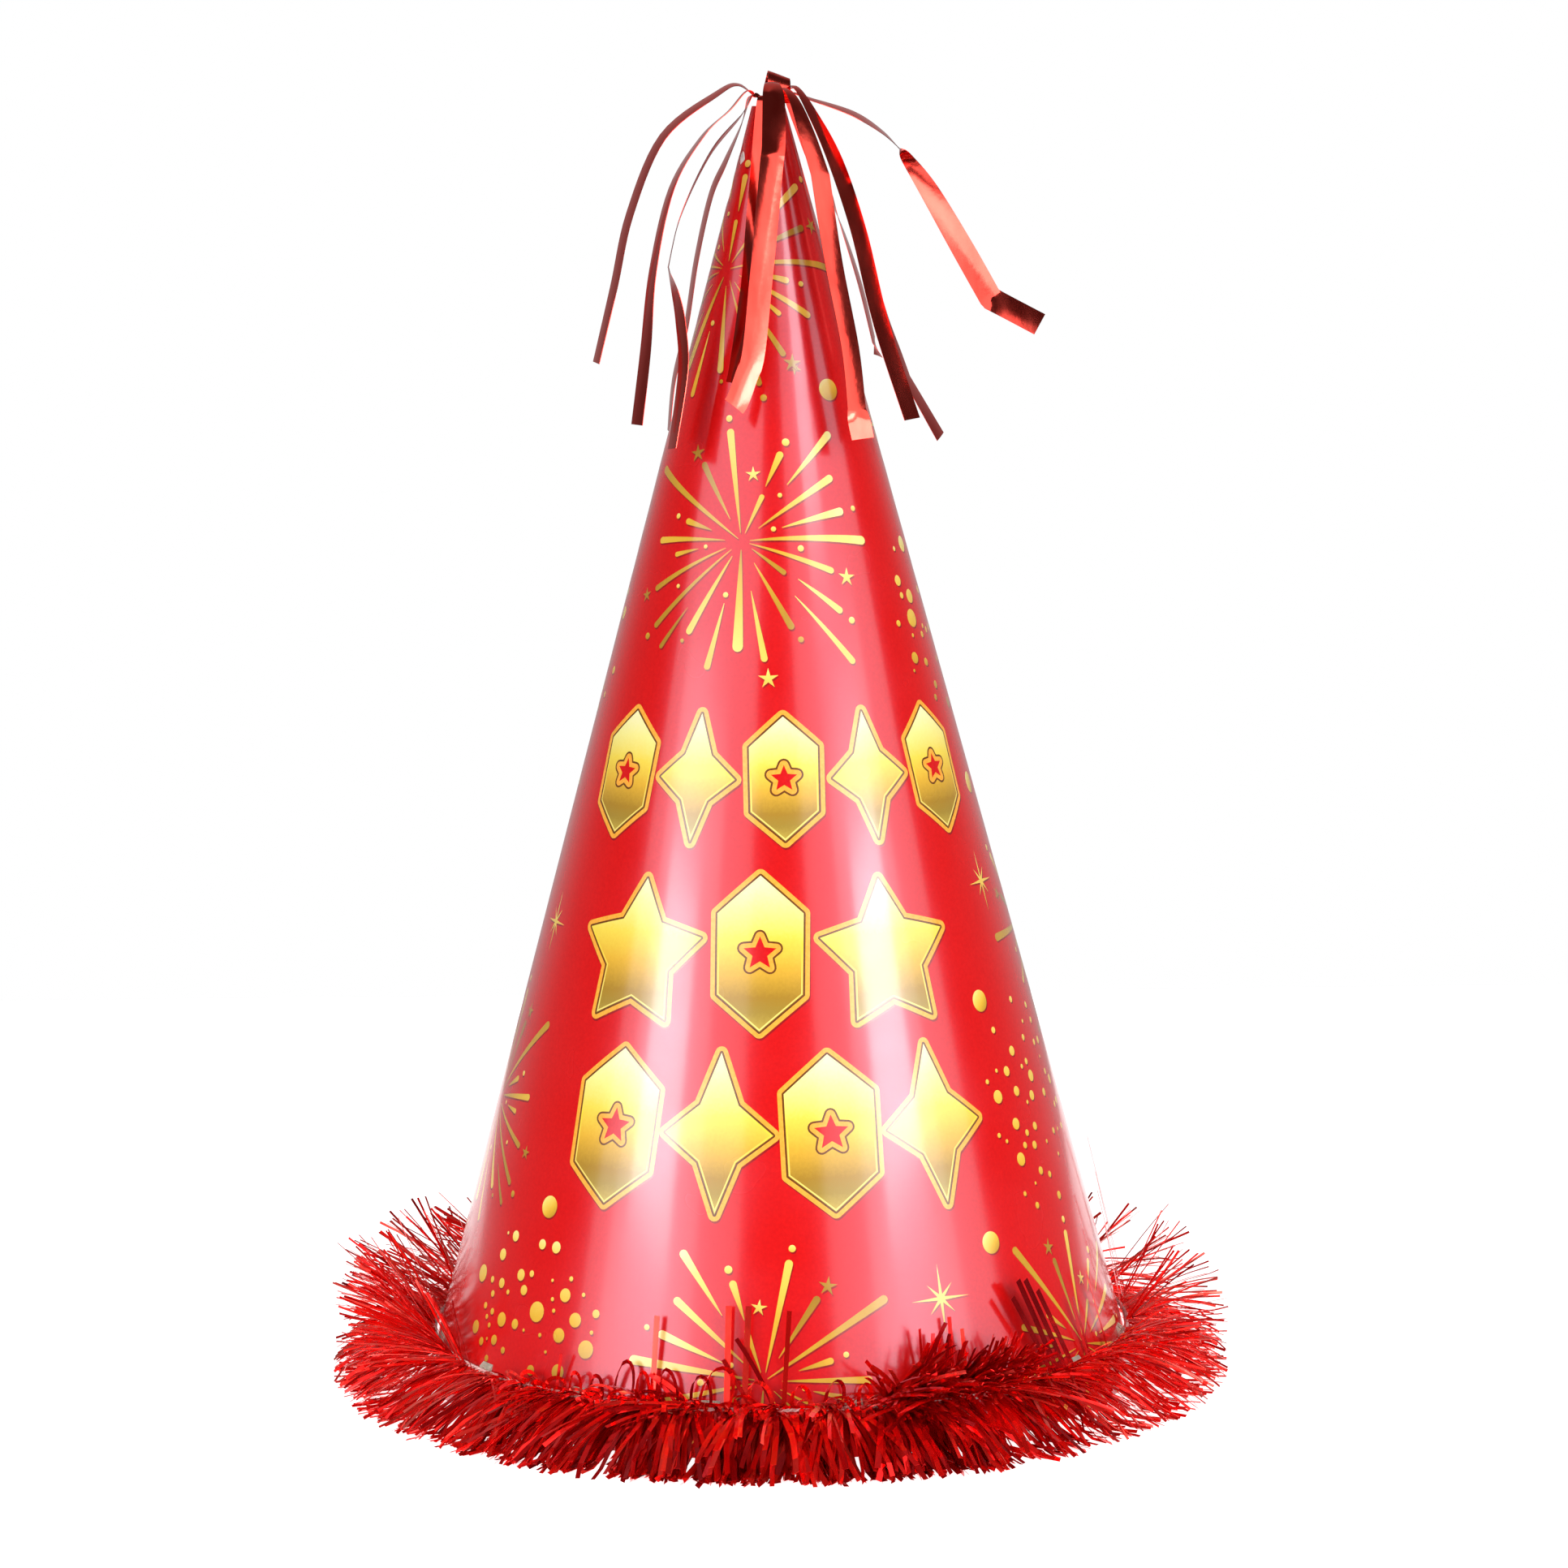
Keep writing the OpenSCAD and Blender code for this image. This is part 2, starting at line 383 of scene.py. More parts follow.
# %% Draw the firework
RAYS = [(99, 2, 27, 0.9), (120, 6, 22, 0.8), (143, 1, 33, 0.95), (160, 8, 16, 0.75), (176, 4, 24, 0.8),
        (188, 11, 18, 0.6), (203, 4, 26, 0.7), (220, 3, 30, 0.7), (230, 20, 32, 0.6), (240, 4, 25, 0.85),
        (257, 15, 31, 0.8), (271, 2, 26, 1.25), (284, 12, 29, 0.8), (303, 6, 24, 0.8), (317, 18, 39, 0.8),
        (326, 3, 13, 0.6), (329, 16, 29, 0.8), (346, 2, 23, 0.75), (6, 2, 31, 1.05), (21, 10, 26, 0.95),
        (39, 5, 27, 0.9), (54, 17, 34, 0.95), (68, 2, 12, 0.6), (69, 14, 23, 0.85)]
RAY_TONES = [(0.45, 0.8), (0.5, 0.15), (0.5, 0.4), (0.35, 0.6), (0.4, 0.65), (0.45, 0.6), (0.55, 0.35),
             (0.55, 0.25), (0.25, 0.2), (0.6, 0.75), (0.8, 0.55), (0.35, 0.85), (0.6, 0.8), (0.55, 0.3),
             (0.85, 0.65), (0.4, 0.35), (0.75, 0.8), (0.45, 0.75), (0.4, 0.95), (0.6, 1.0), (0.45, 0.9),
             (0.6, 1.0), (0.5, 0.65), (0.5, 0.75)]
SPOTS = [(99, 29.5, 0.8), (159, 19, 0.65), (187, 9, 0.5), (220, 33, 0.8), (256, 13, 0.65), (304, 27, 0.7),
         (329, 32, 0.8), (21, 29, 0.65), (69, 25.5, 0.9), (53, 14, 0.55), (23, 8, 0.6), (356, 14, 0.75),
         (212, 19, 0.5), (239, 27, 0.5)]
STARS = [(121, 25, 2.2), (83, 16, 1.9), (346, 26.5, 2.3), (202, 29.5, 1.8), (284, 33, 2.5)]


def along_ray(angle, distance):
    return (distance * math.cos(math.radians(angle)), distance * math.sin(math.radians(angle)))


firework = []
for (angle, start, end, head), tones in zip(RAYS, RAY_TONES):
    firework.append((ray(angle, start, end, head), (along_ray(angle, start), along_ray(angle, end)), tones))
for k, (angle, distance, radius) in enumerate(SPOTS):
    x, y = along_ray(angle, distance)
    tones = (0.3, 0.5) if k in (3, 5, 13) else (0.65, 0.95)
    firework.append((spot(x, y, radius, 12), ((x, y - radius), (x, y + radius)), tones))
for k, (angle, distance, radius) in enumerate(STARS):
    x, y = along_ray(angle, distance)
    tones = (0.15, 0.35) if k in (0, 3) else (0.65, 0.95)
    firework.append((star(x, y, radius, 5, 0.34, 94), ((x, y - radius), (x, y + radius)), tones))
print(len(firework), "shapes in one firework")

# %% Print the fireworks round the hat
print_gold(firework, -13.6, 203.7)
print_gold(firework, -2.8, 17, spin=-3, size=1.04, mirrored=True)
print_gold(firework, 60.2, 14.5, spin=-19)
print_gold(firework, -82.5, 69, spin=8, mirrored=True)
print_gold(firework, -45, 266, spin=-22, mirrored=True)
print_gold(firework, 99, 107, spin=30)
print_gold(firework, 172, 190, spin=12)
print_gold(firework, 150, 36, mirrored=True)
print_gold(firework, -132, 150, spin=40)
print_gold(firework, -150, 20, spin=-10, mirrored=True)
print(len(printed), "printed shapes so far")

# %% [markdown]
# ## Sparkles, large dots and drifts of bubbles
# Between the fireworks are a few eight-armed sparkles, large round dots with a lit side,
# and drifts of small bubbles. The large bubbles of a drift are listed. The small
# ones fill the rest by trial: a random place is kept only if it is clear of its neighbours.

# %% Print the sparkles and the large dots
for turn, height, wide, tall in ((28.5, 32.5, 15.5, 16), (66, 122, 13, 15), (-70.6, 112.8, 12, 15),
                                 (86, 229, 12, 19), (-108, 205, 14, 16), (128, 120, 14, 17),
                                 (-165, 88, 15, 17)):
    line = ((0, -tall / 2), (0, tall / 2))
    print_gold([(sparkle(wide, tall), line, (0.55, 0.95))], turn, height)
for turn, height in ((38, 238), (78, 144), (52, 96), (-47.7, 50.5), (41, 42.7), (-120, 110),
                     (135, 230), (110, 60), (-155, 230), (175, 80)):
    print_gold([(spot(0, 0, 2.6, 28), ((2, -2), (-1.2, 1.6)), (0.35, 0.92))], turn, height)
for turn, height in ((14.3, 244.4), (118, 175), (-95, 240)):
    print_gold([(star(0, 0, 2.3, 5, 0.34, 84), ((0, -2), (0, 2)), (0.15, 0.35))], turn, height)

# %% Print the drifts of bubbles
chance = random.Random(31)


def print_drift(large, centre, spread, count, tone_top, tone_bottom):
    """large are (turn, height, radius). The small ones fill an oval of that spread."""
    kept = list(large)
    tries = 0
    while len(kept) < count + len(large) and tries < 4000:
        tries += 1
        turn = centre[0] + spread[0] * chance.uniform(-1, 1)
        height = centre[1] + spread[1] * chance.uniform(-1, 1)
        if ((turn - centre[0]) / spread[0]) ** 2 + ((height - centre[1]) / spread[1]) ** 2 > 1:
            continue
        radius = chance.choice((0.4, 0.5, 0.6, 0.8, 0.8, 1.0, 1.2))
        round_here = (BRIM_R - SLOPE * height) * math.radians(1)
        clear = all(math.hypot((turn - t) * round_here, height - h) > radius + r + 1.1
                    for t, h, r in kept)
        if clear:
            kept.append((turn, height, radius))
    for turn, height, radius in kept:
        share = (height - centre[1] + spread[1]) / (2 * spread[1])
        tone = tone_bottom + (tone_top - tone_bottom) * max(0, min(1, share))
        line = ((0, -radius), (0, radius))
        print_gold([(spot(0, 0, radius, 16 if radius > 1 else 10), line, (tone - 0.12, tone + 0.05))],
                   turn, height)
    return len(kept)


front_left = [(-46, 27, 2.4), (-34, 21, 2.1), (-65, 31, 2.1), (-39, 15, 1.8), (-37, 27, 1.7),
              (-55, 23, 1.7), (-63, 19, 1.6), (-40, 23, 1.7), (-40, 32, 1.6), (-59, 37, 1.4),
              (-52, 34, 1.4), (-44, 42, 1.4), (-56, 42, 1.3), (-51, 23, 1.2), (-45, 14, 1.2),
              (-56, 18, 1.2)]
right_low = [(51, 74, 1.6), (54, 59, 1.6), (66, 76, 1.4), (55, 67, 1.4), (56, 79, 1.2), (60, 83, 1.2),
             (58, 74, 1.2), (62, 65, 1), (60, 61, 1), (60, 55, 1), (71, 71, 1), (65, 48, 1)]
right_high = [(64, 184, 2.2), (74, 201, 2), (67, 189, 1.7), (59, 175, 1.4), (60, 193, 1.3), (80, 163, 1.3)]
bubbles = 0
for large, *drift in (
        (front_left, (-50, 28), (19, 16), 26, 0.98, 0.4),
        (right_low, (65, 70), (19, 26), 34, 0.85, 0.6),
        (right_high, (68, 182), (15, 20), 14, 0.95, 0.35),
        ([(-80, 185, 1.6), (-88, 168, 1.4)], (-86, 172), (12, 24), 16, 0.8, 0.5),
        ([(125, 205, 1.8), (140, 190, 1.5)], (133, 198), (20, 22), 20, 0.9, 0.5),
        ([(-170, 125, 2.0), (-160, 140, 1.6)], (-166, 132), (14, 22), 24, 0.9, 0.5),
        ([(-108, 40, 2.2), (-100, 28, 1.6)], (-108, 36), (15, 20), 26, 0.9, 0.5)):
    bubbles += print_drift(large, *drift)
print(bubbles, "bubbles")

# %% [markdown]
# ## Three rows of large gold motifs
# The front carries three rows of bold gold motifs, plain stars and lozenges, so the print
# says nothing in any language. Their fill runs from pale yellow above to brown gold and
# back to olive below, like a drawing of bent metal. From outside in: a soft shade, an orange
# border, a thin dark line, a pale gleam and the fill.

# %% Print the large motifs
BORDER_W = 1.05
LINE_W = 0.46
GLEAM_GAP = 0.12
GLEAM_W = 0.34


def print_motif(outline, turn, height, tall):
    place = {"turn": turn, "height": height}
    fall = ((0, -tall / 2), (0, tall / 2))
    border = resize_outline(outline, LINE_W + BORDER_W)
    print_shape(border, SHADE, fall, (0, 0), shift=(0.2, -0.5), **place)
    layers = ((border, BORDER), (resize_outline(outline, LINE_W), LINE), (outline, BIG_GOLD),
              (resize_outline(outline, -GLEAM_GAP), GLEAM),
              (resize_outline(outline, -GLEAM_GAP - GLEAM_W), BIG_GOLD))
    for layer, ink in layers:
        print_shape(layer, ink, fall, (0, 1), **place)


def print_window(outline, turn, height):
    """Cuts a red window with its own border and dark line out of a motif."""
    place = {"turn": turn, "height": height}
    fall = ((0, -1), (0, 1))
    print_shape(resize_outline(outline, LINE_W + BORDER_W), LINE, fall, (0, 1), **place)
    print_shape(resize_outline(outline, BORDER_W), BORDER, fall, (0, 1), **place)
    print_shape(outline, RED, fall, (0, 1), **place)


# turn, kind, width and height of each motif, row by row from the top
for height, row in ((150, [(-50, "lozenge", 16, 29), (-23.7, "spark", 19, 30), (2.6, "lozenge", 16, 29),
                           (28.9, "spark", 19, 30), (55.2, "lozenge", 16, 29)]),
                    (111, [(-35, "star", 32, 36), (-4, "lozenge", 20, 36), (27, "star", 32, 36)]),
                    (71, [(-34.5, "lozenge", 21, 36), (-12, "spark", 25.5, 37), (10.4, "lozenge", 21, 36),
                          (32.8, "spark", 25.5, 37)])):
    for turn, kind, wide, tall in row:
        if kind == "lozenge":
            print_motif(lozenge(wide, tall), turn, height, tall)
            print_window(star(0, 0, wide * 0.2, 5, 0.45), turn, height)
        elif kind == "star":
            print_motif(star(0, -1.6, wide / 1.9, 5, 0.55, 90, 1.06), turn, height, tall)
        else:
            print_motif(star(0, 0, wide / 2, 4, 0.5, 90, tall / wide), turn, height, tall)
print(len(printed), "printed shapes in all")

# %% [markdown]
# ## Cutting the sheet
# The print is part of the mesh: we cut the sheet along every outline and give each piece the
# ink of the shape on top. Blender's constrained triangulation does this in one step: it
# takes all the outlines and tells for each small triangle which shapes cover it. A regular
# net of extra points keeps the triangles small enough to roll up smoothly.

# %% Outline the sheet with its glue lap
LAP = 6.5
JOIN = 0.8
CARD = 0.4 * math.sqrt(1 + SLOPE * SLOPE)
GLUE = 0.1
FIRST_TURN = -180 - LAP / 2
LAST_TURN = 180 + LAP / 2 - JOIN - 0.05
RAMP_END = -180 + LAP / 2


def fan_point(turn, height):
    return place_on_fan([(0, 0)], turn, height)[0]


def steps(start, end, step):
    count = math.ceil(abs(end - start) / step)
    return [start + (end - start) * k / count for k in range(count)]


sheet = [fan_point(turn, 0) for turn in steps(FIRST_TURN, RAMP_END, JOIN)]
sheet += [fan_point(turn, 0) for turn in steps(RAMP_END, LAST_TURN, 2)]
sheet += [fan_point(LAST_TURN, height) for height in steps(0, CONE_H, 8)]
sheet += [fan_point(turn, CONE_H) for turn in steps(LAST_TURN, RAMP_END, 9)]
sheet += [fan_point(turn, CONE_H) for turn in steps(RAMP_END, FIRST_TURN, JOIN)]
sheet += [fan_point(FIRST_TURN, height) for height in steps(CONE_H, 0, 8)]

net = []
for row, height in enumerate(steps(0, CONE_H, 8)[1:]):
    gap = 3 if height < 180 else 6 if height < 270 else 12
    for turn in steps(RAMP_END, LAST_TURN, gap)[1:]:
        net.append(fan_point(turn + (row % 2) * gap / 2 * (turn < LAST_TURN - gap), height))
    for turn in (RAMP_END, RAMP_END - JOIN, RAMP_END - JOIN - 2.5):
        net.append(fan_point(turn, height))
print(len(sheet), "points round the sheet and", len(net), "in its net")

# %% Cut it and pick the ink of every triangle
def cut_flat(outlines, extra):
    points = []
    rings = []
    for outline in outlines:
        rings.append(list(range(len(points), len(points) + len(outline))))
        points.extend(outline)
    points.extend(extra)
    return delaunay_2d_cdt(points, [], rings, 1, 1e-6, True)


cut = cut_flat([sheet] + [shape["flat"] for shape in printed], net)
outer_flat = np.array([(p.x, p.y) for p in cut[0]])
outer_faces = []
face_inks = []
face_shapes = []
for corners, covering in zip(cut[2], cut[5]):
    if 0 not in covering:
        continue
    top = max(covering)
    outer_faces.append(tuple(corners))
    face_shapes.append(top)
    face_inks.append(RED if top == 0 else printed[top - 1]["ink"])
print(len(outer_flat), "points and", len(outer_faces), "triangles in the printed side")

# %% [markdown]
# ## Rolling it up
# Rolling keeps every distance from the apex and only bends the sheet round the axis. At the
# back the lap climbs on to the other edge by the thickness of the card and its glue. The
# inner side is cut again from the same edge points, without the print, and thin faces
# close the edges, so the card is a real sheet with a thickness.

# %% Roll the flat points round the cone
def lap_lift(turn):
    """How far the card's outer side stands off the cone at a turn in degrees."""
    share = np.clip((RAMP_END - turn) / JOIN, 0, 1)
    return share * (CARD + GLUE)


def roll_up(flat, inside=0.0):
    reach = np.hypot(flat[:, 0], flat[:, 1])
    turn = np.arctan2(flat[:, 0], -flat[:, 1]) / FAN_SHARE
    radius = reach * math.sin(TILT) + lap_lift(np.degrees(turn)) - inside
    height = np.clip(APEX - reach * math.cos(TILT), 0, CONE_H)
    places = np.column_stack((radius * np.sin(turn), -radius * np.cos(turn), height)) * MM
    outward = np.column_stack((np.sin(turn) * math.cos(TILT), -np.cos(turn) * math.cos(TILT),
                               np.full(len(turn), math.sin(TILT))))
    return places, outward


def edge_loop(faces):
    """The corners round the open edge of a set of triangles, in order."""
    sides = {(f[k], f[(k + 1) % 3]) for f in faces for k in range(3)}
    follow = {a: b for a, b in sides if (b, a) not in sides}
    start = min(follow)
    loop = [start]
    while follow[loop[-1]] != start:
        loop.append(follow[loop[-1]])
    return loop, len(follow)


rim, rim_count = edge_loop(outer_faces)
inner_cut = cut_flat([[Vector(outer_flat[i]) for i in rim]], net)
inner_flat = np.array([(p.x, p.y) for p in inner_cut[0]])
inner_faces = [tuple(f) for f, covering in zip(inner_cut[2], inner_cut[5]) if covering]
inner_rim, inner_rim_count = edge_loop(inner_faces)
nearest = min(inner_rim, key=lambda i: np.hypot(*(inner_flat[i] - outer_flat[rim[0]])))
start = inner_rim.index(nearest)
inner_rim = inner_rim[start:] + inner_rim[:start]
print("edge points outside:", len(rim), "of", rim_count)
print("edge points inside:", len(inner_rim), "of", inner_rim_count)

# %% Build the card as one closed mesh
def clean_points(places, outward, faces):
    """Keeps only the points that faces use."""
    used = sorted({i for f in faces for i in f})
    where = {old: new for new, old in enumerate(used)}
    return places[used], outward[used], [tuple(where[i] for i in f) for f in faces], where


outer_places, outer_out = roll_up(outer_flat)
inner_places, inner_out = roll_up(inner_flat, CARD)
outer_places, outer_out, outer_new, outer_where = clean_points(outer_places, outer_out, outer_faces)
inner_places, inner_out, inner_new, inner_where = clean_points(inner_places, inner_out, inner_faces)
shift = len(outer_places)
inner_new = [tuple(i + shift for i in reversed(f)) for f in inner_new]
rim_new = []
for k in range(len(rim)):
    a, b = outer_where[rim[k]], outer_where[rim[(k + 1) % len(rim)]]
    c, d = inner_where[inner_rim[(k + 1) % len(rim)]] + shift, inner_where[inner_rim[k]] + shift
    rim_new.append((b, a, d, c))

card_mesh = bpy.data.meshes.new("card_cone")
all_faces = outer_new + inner_new + rim_new
card_mesh.from_pydata(np.vstack((outer_places, inner_places)).tolist(), [], all_faces)
for ink in INKS + [board]:
    card_mesh.materials.append(ink)
card_mesh.polygons.foreach_set("material_index", face_inks + [BOARD] * (len(inner_new) + len(rim_new)))
card_mesh.polygons.foreach_set("use_smooth", [True] * len(all_faces))

tone_layer = card_mesh.attributes.new("tone", "FLOAT", "CORNER")
tones = np.zeros(len(card_mesh.loops), np.float32)
normals = np.zeros((len(card_mesh.loops), 3))
at = 0
for corners, top in zip(outer_faces, face_shapes):
    for corner in corners:
        if top:
            shape = printed[top - 1]
            run = shape["high"] - shape["low"]
            share = (Vector(outer_flat[corner]) - shape["low"]).dot(run) / run.length_squared
            low, high = shape["tones"]
            tones[at] = low + (high - low) * min(1.0, max(0.0, share))
        normals[at] = outer_out[outer_where[corner]]
        at += 1
for corners in inner_new:
    for corner in corners:
        normals[at] = -inner_out[corner - shift]
        at += 1
card_mesh.update()
for face in card_mesh.polygons[len(outer_new) + len(inner_new):]:
    for _ in face.loop_indices:
        normals[at] = face.normal
        at += 1
tone_layer.data.foreach_set("value", tones)
card_mesh.normals_split_custom_set(normals.tolist())
add_piece("card_cone", card_mesh, "root", "printed_card", "cone_shell")
print("card cone:", len(card_mesh.vertices), "points,", len(card_mesh.polygons), "faces")

# %% [markdown]
# ## Red foil
# Tinsel and ribbons are cut from thin plastic film with a layer of metal and red lacquer.
# It is a mirror that keeps only the red, so most of its look is what it reflects: white
# boxes give coral, the dark gap gives maroon. The lacquer is never quite even, and no two
# strands have the same shade, so each strand stores a number, tone, that the finish reads.
# On the tinsel the tone also leans to coral towards the sides of the hat: that part is a
# painted sheen, standing in for the reflections that the side strands catch.

# %% Mix the foil for the tinsel and the foil for the ribbons
def red_foil(name, stops, rough_low, rough_high, metal, follows_tone=False):
    foil, shader, nodes, links = new_finish(name)
    streaks = add_grain(nodes, links, 260, 3, (1, 1, 0.25))
    if follows_tone:
        tone = nodes.new("ShaderNodeAttribute")
        tone.attribute_name = "tone"
        amount = tone.outputs["Fac"]
    else:
        amount = streaks
    links.new(add_colours(nodes, links, amount, stops), shader["Base Color"])
    links.new(add_range(nodes, links, streaks, rough_low, rough_high), shader["Roughness"])
    crinkle = add_relief(nodes, links, add_grain(nodes, links, 420, 2), 0.00002)
    links.new(crinkle, shader["Normal"])
    shader["Metallic"].default_value = metal
    return foil


tinsel_foil = red_foil("tinsel_foil", [(0.0, (0.36, 0.003, 0.006)), (0.3, (0.74, 0.006, 0.006)),
                                       (0.6, (0.95, 0.012, 0.008)), (0.85, (0.97, 0.045, 0.03)),
                                       (1.0, (0.96, 0.14, 0.11))],
                       0.12, 0.24, metal=0.8, follows_tone=True)
ribbon_foil = red_foil("ribbon_foil", [(0.3, (0.78, 0.055, 0.040)), (0.7, (0.86, 0.085, 0.062))],
                       0.10, 0.16, metal=1.0)
print("two foils")

# %% [markdown]
# ## Strips of foil
# Everything in the garland and the tassel is a long thin strip, so one function makes them
# all: it takes the middle line of each strip and the direction of its width, and builds a
# closed strip with two broad faces, two edges and two cut ends.

# %% Turn middle lines into closed strips
def unit(vectors):
    return vectors / np.maximum(np.linalg.norm(vectors, axis=-1, keepdims=True), 1e-9)


def path_directions(paths):
    ahead = np.concatenate((paths[:, 1:], paths[:, -1:]), axis=1)
    behind = np.concatenate((paths[:, :1], paths[:, :-1]), axis=1)
    return unit(ahead - behind)


def strip_points(paths, across, widths, thick, columns=1, cup=0.0):
    """Corners of closed strips: paths and across are (strips, stations, 3), in mm.
    A strip can be split into columns and be cupped, so that its middle stands out."""
    flatwise = unit(np.cross(path_directions(paths), across))
    half_w = widths[..., None] / 2 * across
    places = np.linspace(-1, 1, columns + 1)
    under = [paths + half_w * p + flatwise * (cup * (1 - p * p) - thick / 2) for p in places]
    over = [line + flatwise * thick for line in reversed(under)]
    rings = np.stack(under + over, axis=2)
    strips, stations = paths.shape[:2]
    corners = 2 * columns + 2
    faces = []
    for s in range(stations - 1):
        for k in range(corners):
            a, b = corners * s + k, corners * s + (k + 1) % corners
            faces.append((a, b, b + corners, a + corners))
    last = corners * (stations - 1)
    for c in range(columns):
        end = (c, c + 1, corners - 2 - c, corners - 1 - c)
        faces.append(tuple(reversed(end)))
        faces.append(tuple(last + corner for corner in end))
    starts = np.arange(strips)[:, None, None] * corners * stations
    return rings.reshape(-1, 3), (starts + np.array(faces)[None]).reshape(-1, 4)


def add_strips(name, batches, finish, body, slot_name, *nodes_replaced, columns=1, cup=0.0):
    """Joins batches of (paths, across, widths, thick, tones) into one piece."""
    points, faces, tones, shift = [], [], [], 0
    for paths, across, widths, thick, tone in batches:
        batch_points, batch_faces = strip_points(paths, across, widths, thick, columns, cup)
        points.append(batch_points)
        faces.append(batch_faces + shift)
        tones.append(np.repeat(tone, len(batch_points) // len(tone)))
        shift += len(batch_points)
    mesh = bpy.data.meshes.new(name)
    mesh.from_pydata((np.vstack(points) * MM).tolist(), [], np.vstack(faces).tolist())
    mesh.attributes.new("tone", "FLOAT", "POINT").data.foreach_set("value", np.concatenate(tones))
    mesh.materials.append(finish)
    return add_piece(name, mesh, body, slot_name, *nodes_replaced)


print("strips ready")

# %% [markdown]
# ## The garland's strands
# Tinsel is a bottle brush: strips stand out all round a twisted thread. Glued to the brim,
# the lower strips fan out over the table and the upper ones stand up or lean on the card.
# They leave the thread in tufts that share a direction, which gives the ragged outline.
# For each strand we choose where it starts, how steeply it rises, how it leans, how long it
# is and how much it droops, and then walk along it in five steps.

# %% Grow strands from the thread
dice = np.random.default_rng(2024)
STATIONS = 6


def ring_frame(turns):
    """Outward and sideways directions at turns in degrees round the hat."""
    angle = np.radians(turns)
    zero = np.zeros_like(angle)
    return (np.stack((np.sin(angle), -np.cos(angle), zero), -1),
            np.stack((np.cos(angle), np.sin(angle), zero), -1))


def keep_clear(paths, floor_z, gap=0.5):
    """Lifts points off the table and pushes them out of the card."""
    paths[..., 2] = np.maximum(paths[..., 2], floor_z)
    reach = np.hypot(paths[..., 0], paths[..., 1])
    wall = BRIM_R - SLOPE * paths[..., 2] + gap
    outside = np.where(reach < wall, wall / np.maximum(reach, 1e-6), 1.0)
    paths[..., 0] *= outside
    paths[..., 1] *= outside
    reach = np.hypot(paths[..., 0], paths[..., 1])
    furthest = FRINGE_R + 0.6 + 2.6 * np.maximum(0, -paths[..., 1] / reach)
    inside = np.minimum(1.0, furthest / reach)
    paths[..., 0] *= inside
    paths[..., 1] *= inside
    return paths


def grow(turns, rise, lean, length, droop, width, tone, root=-50.0):
    """All values are arrays with one number a strand. Angles in degrees, lengths in mm."""
    count = len(turns)
    outward, sideways = ring_frame(turns)
    up = np.array([0, 0, 1.0])
    root_angle = np.radians(root if np.ndim(root) else np.full(count, root))
    here = (outward * (CORE_RING_R + 0.45 * np.cos(root_angle))[:, None]
            + up * (CORE_Z + 0.45 * np.sin(root_angle))[:, None])
    paths = [here]
    curl = dice.normal(0, 6, count)
    for step in range(STATIONS - 1):
        share = (step + 0.5) / (STATIONS - 1)
        tilt = np.radians(rise - droop * share)
        slant = np.radians(lean + curl * share)
        heading = (outward * (np.cos(tilt) * np.cos(slant))[:, None]
                   + sideways * (np.cos(tilt) * np.sin(slant))[:, None]
                   + up * np.sin(tilt)[:, None])
        here = here + heading * (length / (STATIONS - 1))[:, None]
        paths.append(here)
    paths = np.stack(paths, axis=1)
    floor_z = dice.uniform(0.6, 1.8, count)[:, None]
    paths = keep_clear(paths, floor_z)
    direction = path_directions(paths)
    side = sideways[:, None, :]
    across = unit(side - (side * direction).sum(-1, keepdims=True) * direction)
    normal = np.cross(direction, across)
    roll = (dice.normal(0, 20, count)[:, None]
            + dice.normal(0, 30, count)[:, None] * np.linspace(0, 1, STATIONS)[None])
    roll = np.radians(roll)[..., None]
    across = across * np.cos(roll) + normal * np.sin(roll)
    widths = np.repeat(width[:, None], STATIONS, axis=1)
    return paths, across, widths, 0.05, tone


def tufts(count, per_tuft, low, high, turn_spread, lean_spread, rise_spread):
    """Turns, leans and rises that neighbours in a tuft share, with a little of their own."""
    groups = max(1, count // per_tuft)
    centre = low + (high - low) * (np.arange(groups) + dice.uniform(0, 1, groups)) / groups
    lean = dice.normal(0, lean_spread, groups)
    rise = dice.normal(0, rise_spread, groups)
    pick = np.repeat(np.arange(groups), per_tuft)
    own = len(pick)
    return (centre[pick] + dice.normal(0, turn_spread, own), lean[pick] + dice.normal(0, 7, own),
            rise[pick] + dice.normal(0, 6, own))


def strand_tones_with_side_sheen(turns):
    """Tones that differ at random, mid red in front with some maroon, pushed to coral towards the sides as
    a painted sheen.
    """
    side = np.clip((np.abs(turns) - 35) / 35, 0, 1)
    # the 0.32 * side term paints a coral sheen on the side strands, in place of the reflections they catch
    return np.clip(dice.normal(0.36 + 0.32 * side, 0.27), 0, 1)


def strand_widths(turns):
    """Wide strips in front, and narrower ones at the sides and the back."""
    side = np.clip((np.abs(turns) - 12) / 40, 0, 1)
    return dice.uniform(1.0, 1.5, len(turns)) * (1 - 0.42 * side)


lower = []
for rise, droop, count in ((-35, 2, 800), (-25, 10, 850), (-13, 24, 700), (0, 44, 360)):
    turns, lean, own_rise = tufts(count, 8, -180, 180, 0.8, 10, 4)
    thinned = dice.random(len(turns)) < 0.45 * ((turns > 32) & (turns < 125))
    turns, lean, own_rise = turns[~thinned], lean[~thinned], own_rise[~thinned]
    n = len(turns)
    length = dice.normal(25.6, 2.0, n) + 1.6 * np.cos(np.radians(turns))
    lower.append(grow(turns, rise + own_rise, lean, length, droop + dice.normal(0, 5, n),
                      strand_widths(turns), strand_tones_with_side_sheen(turns)))
add_strips("tinsel_lower", lower, tinsel_foil, "root", "tinsel_foil", "tinsel_fringe")
print(sum(len(batch[0]) for batch in lower), "strands fan out over the table")

